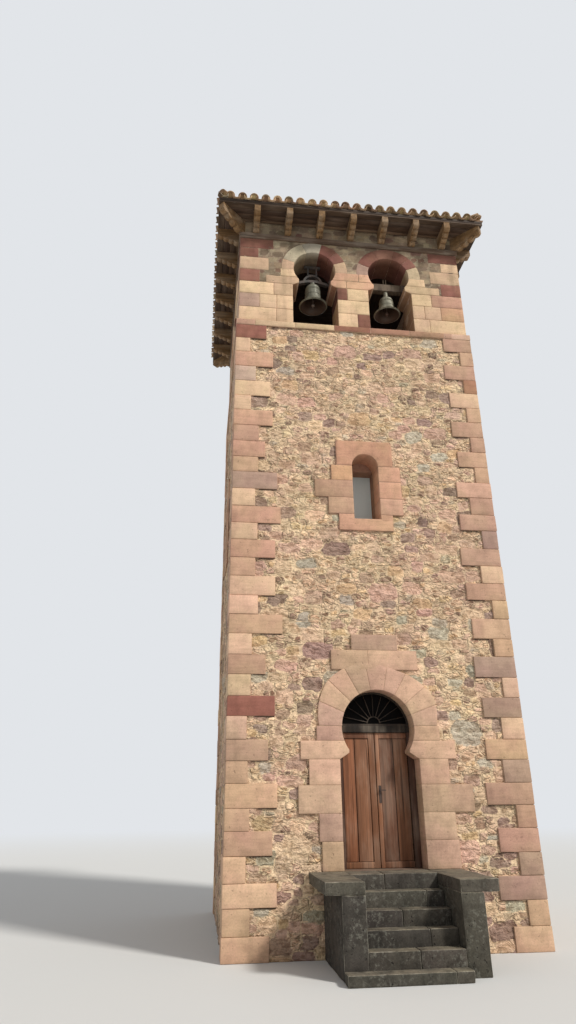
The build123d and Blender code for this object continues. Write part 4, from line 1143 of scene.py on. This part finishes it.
board_drop, board_depth, board_reach, inner_reach, board_tip = 0.176, 0.045, soffit_high.x - 0.006, 2.050, 0.01


def board_top(reach):
    """How high the top of the roof's boards lies at a distance from the tower's axis."""
    rise = math.tan(roof_slant)
    return eave_crest + (roof_half - board_reach) * rise - board_drop + (board_reach - reach) * rise


points, faces = square_ring([(board_reach, roof_foot), (board_reach, board_top(board_reach)),
                             (board_tip, board_top(board_tip)), (board_tip, board_top(board_tip) - board_depth),
                             (inner_reach, board_top(inner_reach) - board_depth), (inner_reach, roof_foot)])
# The boards are painted a dark brown: painted shade for the strip that shows under the tile ends.
roof_board_material = timber_material("roof_boards", shade(62, 48, 38), "round", 0.05, 0.003)
build_piece("roof_boards", points, faces, roof_board_material, "eave_timber")


def lathe(profile, turns=32):
    """A closed shape turned about the upright axis, from radius and height, bottom end first."""
    radius, height = np.array(profile).T
    angle = np.arange(turns) * 2 * math.pi / turns
    points = np.stack([radius[:, None] * np.cos(angle), radius[:, None] * np.sin(angle),
                       np.repeat(height[:, None], turns, 1)], -1)
    return points.reshape(-1, 3), closed_skin(np.arange(radius.size * turns).reshape(-1, turns))


points, faces = lathe([(0.20, -0.10), (0.20, -0.045), (0.17, -0.005), (0.12, 0.025), (0.07, 0.040),
                       (0.02, 0.046)])
points += np.array([0, 0, apex_crest])
points += np.stack([noise(points, 0.06, 3), noise(points, 0.06, 4), 0 * points[:, 0]], -1) * 0.006
cap_material = stone_material("roof_mortar", shade(170, 152, 126), stain=0.7, beds=0.0, grain=0.6, relief=0.006)
build_piece("apex_cap", points, faces, cap_material, "roof_tile")

bed_starts, bed_stop, bed_foot = (0.05, 0.11), 0.20, 0.030
# The ochre mortar is painted darker than it is, as painted shade in the tiles' mouths.
bedding_tones_and_painted_shade = [((178, 148, 104), 3), ((156, 126, 90), 3), ((132, 106, 78), 2)]


def mortar_beds(centres, starts, half_width, rise, base, foot, seed):
    """Mortar that fills the mouth of a tile: a foot under the base, and a dome that follows the
    tile's arc, rise times the root of 1 - (x / half width)^2."""
    low = [(centre - half_width, start, 0) for centre, start in zip(centres, starts)]
    high = [(centre + half_width, bed_stop, 1) for centre in centres]
    points, faces, _ = stone_blocks(low, high, 0.005, (8, 1, 3), 0.006, seed)
    share = (points[..., 0] - np.asarray(centres)[:, None]) / half_width
    dome = rise * np.sqrt(np.clip(1 - share ** 2, 0, 1))
    points[..., 2] = base - foot + points[..., 2] * (foot + dome)
    return points, faces


points, faces = mortar_beds(crests, [roof_random.uniform(*bed_starts) for _ in crests], cover_half - 0.014,
                            cover_rise - 0.016, -cover_rise, bed_foot, 93)
points = on_slope(points)
faces = faces[:len(points) * len(faces) // len(crests)]
groups = [(turned(points, quarter), faces, np.zeros(points.size // 3)) for quarter in range(4)]
points, faces = mortar_beds([0.0], bed_starts[:1], hip_half - 0.018, hip_rise - 0.018, hip_lift - hip_rise,
                            2 * bed_foot, 94)
points = on_hip(points)
groups += [(turned(points, quarter), faces, np.zeros(points.size // 3)) for quarter in range(4)]
points, faces, _, colours = join_groups(groups, bedding_tones_and_painted_shade, roof_random, 0.12)
bedding_material = stone_material("tile_bedding", "tint", beds=0.0)
build_piece("tile_bedding", points, faces, bedding_material, "roof_tile", tint=colours)

# Door
# Two leaves, each of two upright boards set back between a bottom rail, a top rail and a meeting
# stile, in a dark frame. Stained red-brown long ago, and faded where the sun reaches them.
frame_material = timber_material("fanlight_frame", shade(54, 44, 36), bleach=0.1)
dress(("fanlight_frame",), frame_material)
leaf_material = timber_material("door_boards", "tint", bleach=0.25, relief=0.003)
rail_height, board_back, board_gap, lining_back, lining_inset = 0.080, 0.012, 0.006, 0.024, 0.02
leaf_stiles = {"left": 0.088, "right": 0.058}
leaf_splits = {"left": -0.324, "right": 0.264}
leaf_shades = [((142, 96, 68), 3), ((132, 86, 60), 3), ((120, 80, 58), 2)]
post_shade, transom_shade, gap_painted_shade = shade(86, 58, 45), shade(50, 42, 35), shade(40, 28, 22)
door_random = np.random.default_rng(3)
for side_name, stile in leaf_stiles.items():
    leaf_low, leaf_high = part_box(f"{side_name}_door_leaf")
    front, foot, top = leaf_low.y, leaf_low.z, leaf_high.z
    if side_name == "left":
        start, stop = field = leaf_low.x, leaf_high.x - stile
        post = stop, leaf_high.x
    else:
        start, stop = field = leaf_low.x + stile, leaf_high.x
        post = leaf_low.x, start
    split = leaf_splits[side_name]
    rows = [(*post, front, foot, top), (*field, front, foot, foot + rail_height),
            (*field, front, top - rail_height, top)]
    rows += [(a + board_gap, b - board_gap, front + board_back, foot + rail_height + board_gap,
              top - rail_height - board_gap) for a, b in ((start, split), (split, stop))]
    # A lining set back behind the boards, painted near black, shows in the gaps round them as painted shade.
    rows += [(start + joint, stop - joint, front + lining_back, foot + lining_inset, top - lining_inset)]
    rows = np.array(rows)
    high = np.stack([rows[:, 1], np.full(len(rows), leaf_high.y), rows[:, 4]], -1)
    points, faces, arris = stone_blocks(rows[:, [0, 2, 3]], high, 0.003, (2, 1, 3), 0.0, 81)
    colours = pick_shades(leaf_shades, len(rows), door_random, 0.08)
    # The lining's colour is painted shade for the gaps.
    colours[-1] = gap_painted_shade
    build_piece(f"{side_name}_leaf_boards", points, faces, leaf_material, "door_timber", f"{side_name}_leaf",
                (f"{side_name}_door_leaf",), tint=colours, arris=arris)

frame_low, frame_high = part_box("door_frame")
transom_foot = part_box("fanlight_frame")[0].z - 0.094
left_post, right_post = -0.515, 0.485
low = [tuple(frame_low), (right_post, frame_low.y, frame_low.z), (frame_low.x, frame_low.y, transom_foot)]
high = [(left_post, frame_high.y, transom_foot), (frame_high.x, frame_high.y, transom_foot), tuple(frame_high)]
points, faces, arris = stone_blocks(low, high, 0.003, (2, 1, 3), 0.0, 82)
build_piece("frame_boards", points, faces, leaf_material, "door_timber", replaces=("door_frame",),
            tint=[post_shade, post_shade, transom_shade], arris=arris)


def plain_material(name, colour, rough, metal=0.0, patch=None, shine=0.5):
    """Metal or glass: one colour, with patches of another where it has weathered."""
    material, tree, shader, coordinates = new_material(name, shine)
    shader.inputs["Base Color"].default_value = colour
    shader.inputs["Roughness"].default_value = rough
    shader.inputs["Metallic"].default_value = metal
    if patch:
        blotches = cloud(tree, stretched(tree, coordinates["Object"], (9.0, 9.0, 2.5)), 1.0, 6, 0.65)
        fine = cloud(tree, coordinates["Object"], 90.0, 3)
        share = ramped(tree, times_plus(tree, fine, 0.3, blotches), 0.52, 0.78)
        bare = product(tree, figure(tree, "SUBTRACT", 1.0, share), metal)
        tree.links.new(bare, shader.inputs["Metallic"])
        surface(tree, shader, mixed(tree, share, colour, patch), None, (share, 0.001))
    return material


iron_material = plain_material("black_iron", shade(44, 40, 38), 0.55, 0.5, shade(70, 52, 42))
dress(("left_door_straps", "right_door_straps", "door_hinge_pins", "handle_plate", "handle_lever"),
      iron_material)

# Fanlight
# Dark glass in a half-round light over the transom, behind thin bars that fan out from a hub.
# The bars are rounded wood, as dark as the frame, and run from the hub's ring to the frame's edge.
dress(("fanlight_glass",), plain_material("dark_glass", shade(10, 8, 7), 0.4, shine=0.03))
glass_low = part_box("fanlight_glass")[0]
light_radius, circle_drop = 0.517, glass_low.z - (threshold + door_arch["centre"])
bar_front, hub_height, hub_radius, bar_clear = glass_low.y - 0.012, glass_low.z + 0.004, 0.10, 0.004


def tube(path, radius, sides=8):
    """A round bar along a path that lies in an upright plane facing the front."""
    ahead = np.gradient(path, axis=0)
    ahead /= np.linalg.norm(ahead, axis=1, keepdims=True)
    depth = np.array([0.0, 1.0, 0.0])
    angle = np.arange(sides)[:, None] * 2 * math.pi / sides
    points = path[:, None] + radius * (np.cos(angle) * np.cross(ahead, depth)[:, None] + np.sin(angle) * depth)
    return points.reshape(-1, 3), closed_skin(np.arange(len(path) * sides).reshape(-1, sides))[:, (0, 3, 2, 1)]


def fan_path(angle, reach):
    """A path in the plane of the bars, from angles and distances about the hub's centre."""
    angle, reach = np.broadcast_arrays(angle, reach)
    return np.stack([door_x + reach * np.cos(angle), np.full(angle.shape, bar_front),
                     hub_height + reach * np.sin(angle)], -1)


bars = []
for angle in np.radians(np.linspace(12, 168, 9)):
    reach = math.sqrt(light_radius ** 2 - (circle_drop * math.cos(angle)) ** 2) - circle_drop * math.sin(angle)
    bars.append(tube(fan_path(angle, [hub_radius, reach - bar_clear]), 0.007))
bars.append(tube(fan_path(np.linspace(0.05, math.pi - 0.05, 17), hub_radius), 0.010))
bars = [(bar[None], own, np.zeros(len(bar))) for bar, own in bars]
points, faces, _, _ = join_groups(bars, leaf_shades, door_random)
build_piece("fanlight_bars", points, faces, frame_material, "door_timber")

# Window panes
# Glass deep in each slit, painted a pale blue grey: a painted reflection of the sky. One flat
# pane to a window, held fast between its jambs, with no sash that opens.
dress(("window_panes",), plain_material("pale_glass_painted_reflection", shade(216, 232, 232), 0.35))

# Bells
# Cast bronze with a dull grey-green skin, in a cast yoke on the left and under a straight steel
# beam on the right. Axles turn in bearing blocks let into the sides of the arches.
bell_low, bell_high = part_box("right_bell")
bell_x, bell_y = (bell_low.x + bell_high.x) / 2, (bell_low.y + bell_high.y) / 2


def bell_material(name, skin, patch, bore):
    """Cast bronze: a grey-green skin in runs and patches, and a brown bore, which is wherever
    the surface faces the bell's own axis."""
    material, tree, shader, coordinates = new_material(name)
    x, y, _ = add(tree, "SeparateXYZ", {0: coordinates["Object"]}).outputs
    beside = times_plus(tree, figure(tree, "SIGN", x), -bell_x, x)
    out = add(tree, "CombineXYZ", {0: beside, 1: figure(tree, "SUBTRACT", y, bell_y)}).outputs[0]
    facing = add(tree, "VectorMath", {0: coordinates["Normal"], 1: out}, operation="DOT_PRODUCT")
    inside = figure(tree, "LESS_THAN", facing.outputs["Value"], 0.0)
    runs = cloud(tree, stretched(tree, coordinates["Object"], (9.0, 9.0, 2.0)), 1.0, 6, 0.65)
    bronze = mixed(tree, ramped(tree, runs, 0.40, 0.62), skin, patch)
    shader.inputs["Metallic"].default_value = 0.2
    rough = ramped(tree, runs, 0.3, 0.7, 0.50, 0.72)
    surface(tree, shader, mixed(tree, inside, bronze, bore), rough, (runs, 0.002))
    return material


dress(("left_bell",),
      bell_material("left_bronze", shade(116, 114, 98), shade(84, 82, 69), shade(74, 56, 44)))
dress(("right_bell",),
      bell_material("right_bronze", shade(136, 132, 114), shade(98, 94, 78), shade(82, 64, 50)))
dress(("left_clapper", "right_clapper"),
      plain_material("clapper_iron", shade(120, 108, 98), 0.5, 0.4, shade(86, 62, 48)))
dress(("left_bell_yoke", "bell_bearings"),
      plain_material("yoke_iron", shade(58, 54, 50), 0.6, 0.3, shade(84, 66, 54)))
dress(("right_bell_yoke",), plain_material("beam_paint", shade(106, 92, 76), 0.7, 0.1, shade(74, 60, 48), 0.2))

# Steps
# Solid steps of dark cast concrete between two cheek walls with flat copings. Rain has streaked
# them, lichen and dust lie on top, and their edges are worn pale.
concrete_material = stone_material("dark_concrete", "tint", stain=0.8, beds=0.0, grain=0.9, streaks=0.6,
                                   relief=0.010, arris=shade(182, 174, 156), wear=0.9,
                                   lichen=shade(136, 134, 122), dust=shade(128, 118, 100))
step_shades = [((78, 73, 64), 3), ((72, 67, 60), 3), ((86, 81, 71), 2)]
step_random = np.random.default_rng(6)
step_low, step_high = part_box("step_1")
coping_low, coping_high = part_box("cheek_copings")
step_names = tuple(f"step_{number}" for number in range(1, 7))
cheeks = ("left_cheek_wall", "right_cheek_wall")
boxes = [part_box(name) for name in cheeks]
for name, split in zip(step_names, (-0.15, 0.34, -0.05, 0.22, 0.02, 0.36)):
    first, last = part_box(name)
    boxes += [(first, (split - joint, last.y, last.z)), ((split + joint, first.y, first.z), last)]
boxes += [(coping_low, (step_low.x, coping_high.y, coping_high.z)),
          ((step_high.x, coping_low.y, coping_low.z), coping_high)]
low, high = np.array([(tuple(first), tuple(last)) for first, last in boxes]).transpose(1, 0, 2)
points, faces, arris = stone_blocks(low + (0.001, 0.006, 0), high - (0.001, 0, 0.001), 0.012, (12, 10, 6),
                                    0.005, 91)
points[..., 2] = np.clip(points[..., 2], 0, None)
build_piece("step_blocks", points, faces, concrete_material, "concrete",
            replaces=step_names + cheeks + ("cheek_copings",),
            tint=pick_shades(step_shades, len(boxes), step_random, 0.06), arris=arris)

# Floors
# A ground floor paved in stone, and boards on joists under the room above and the belfry. The
# joists bear on ledges where the walls step back inside.
dress(("ground_floor",), stone_material("paving", shade(150, 138, 120), stain=0.6, beds=0.0))
dress(("middle_floor", "belfry_floor"), timber_material("floor_timber", shade(128, 106, 84), bleach=0.4))
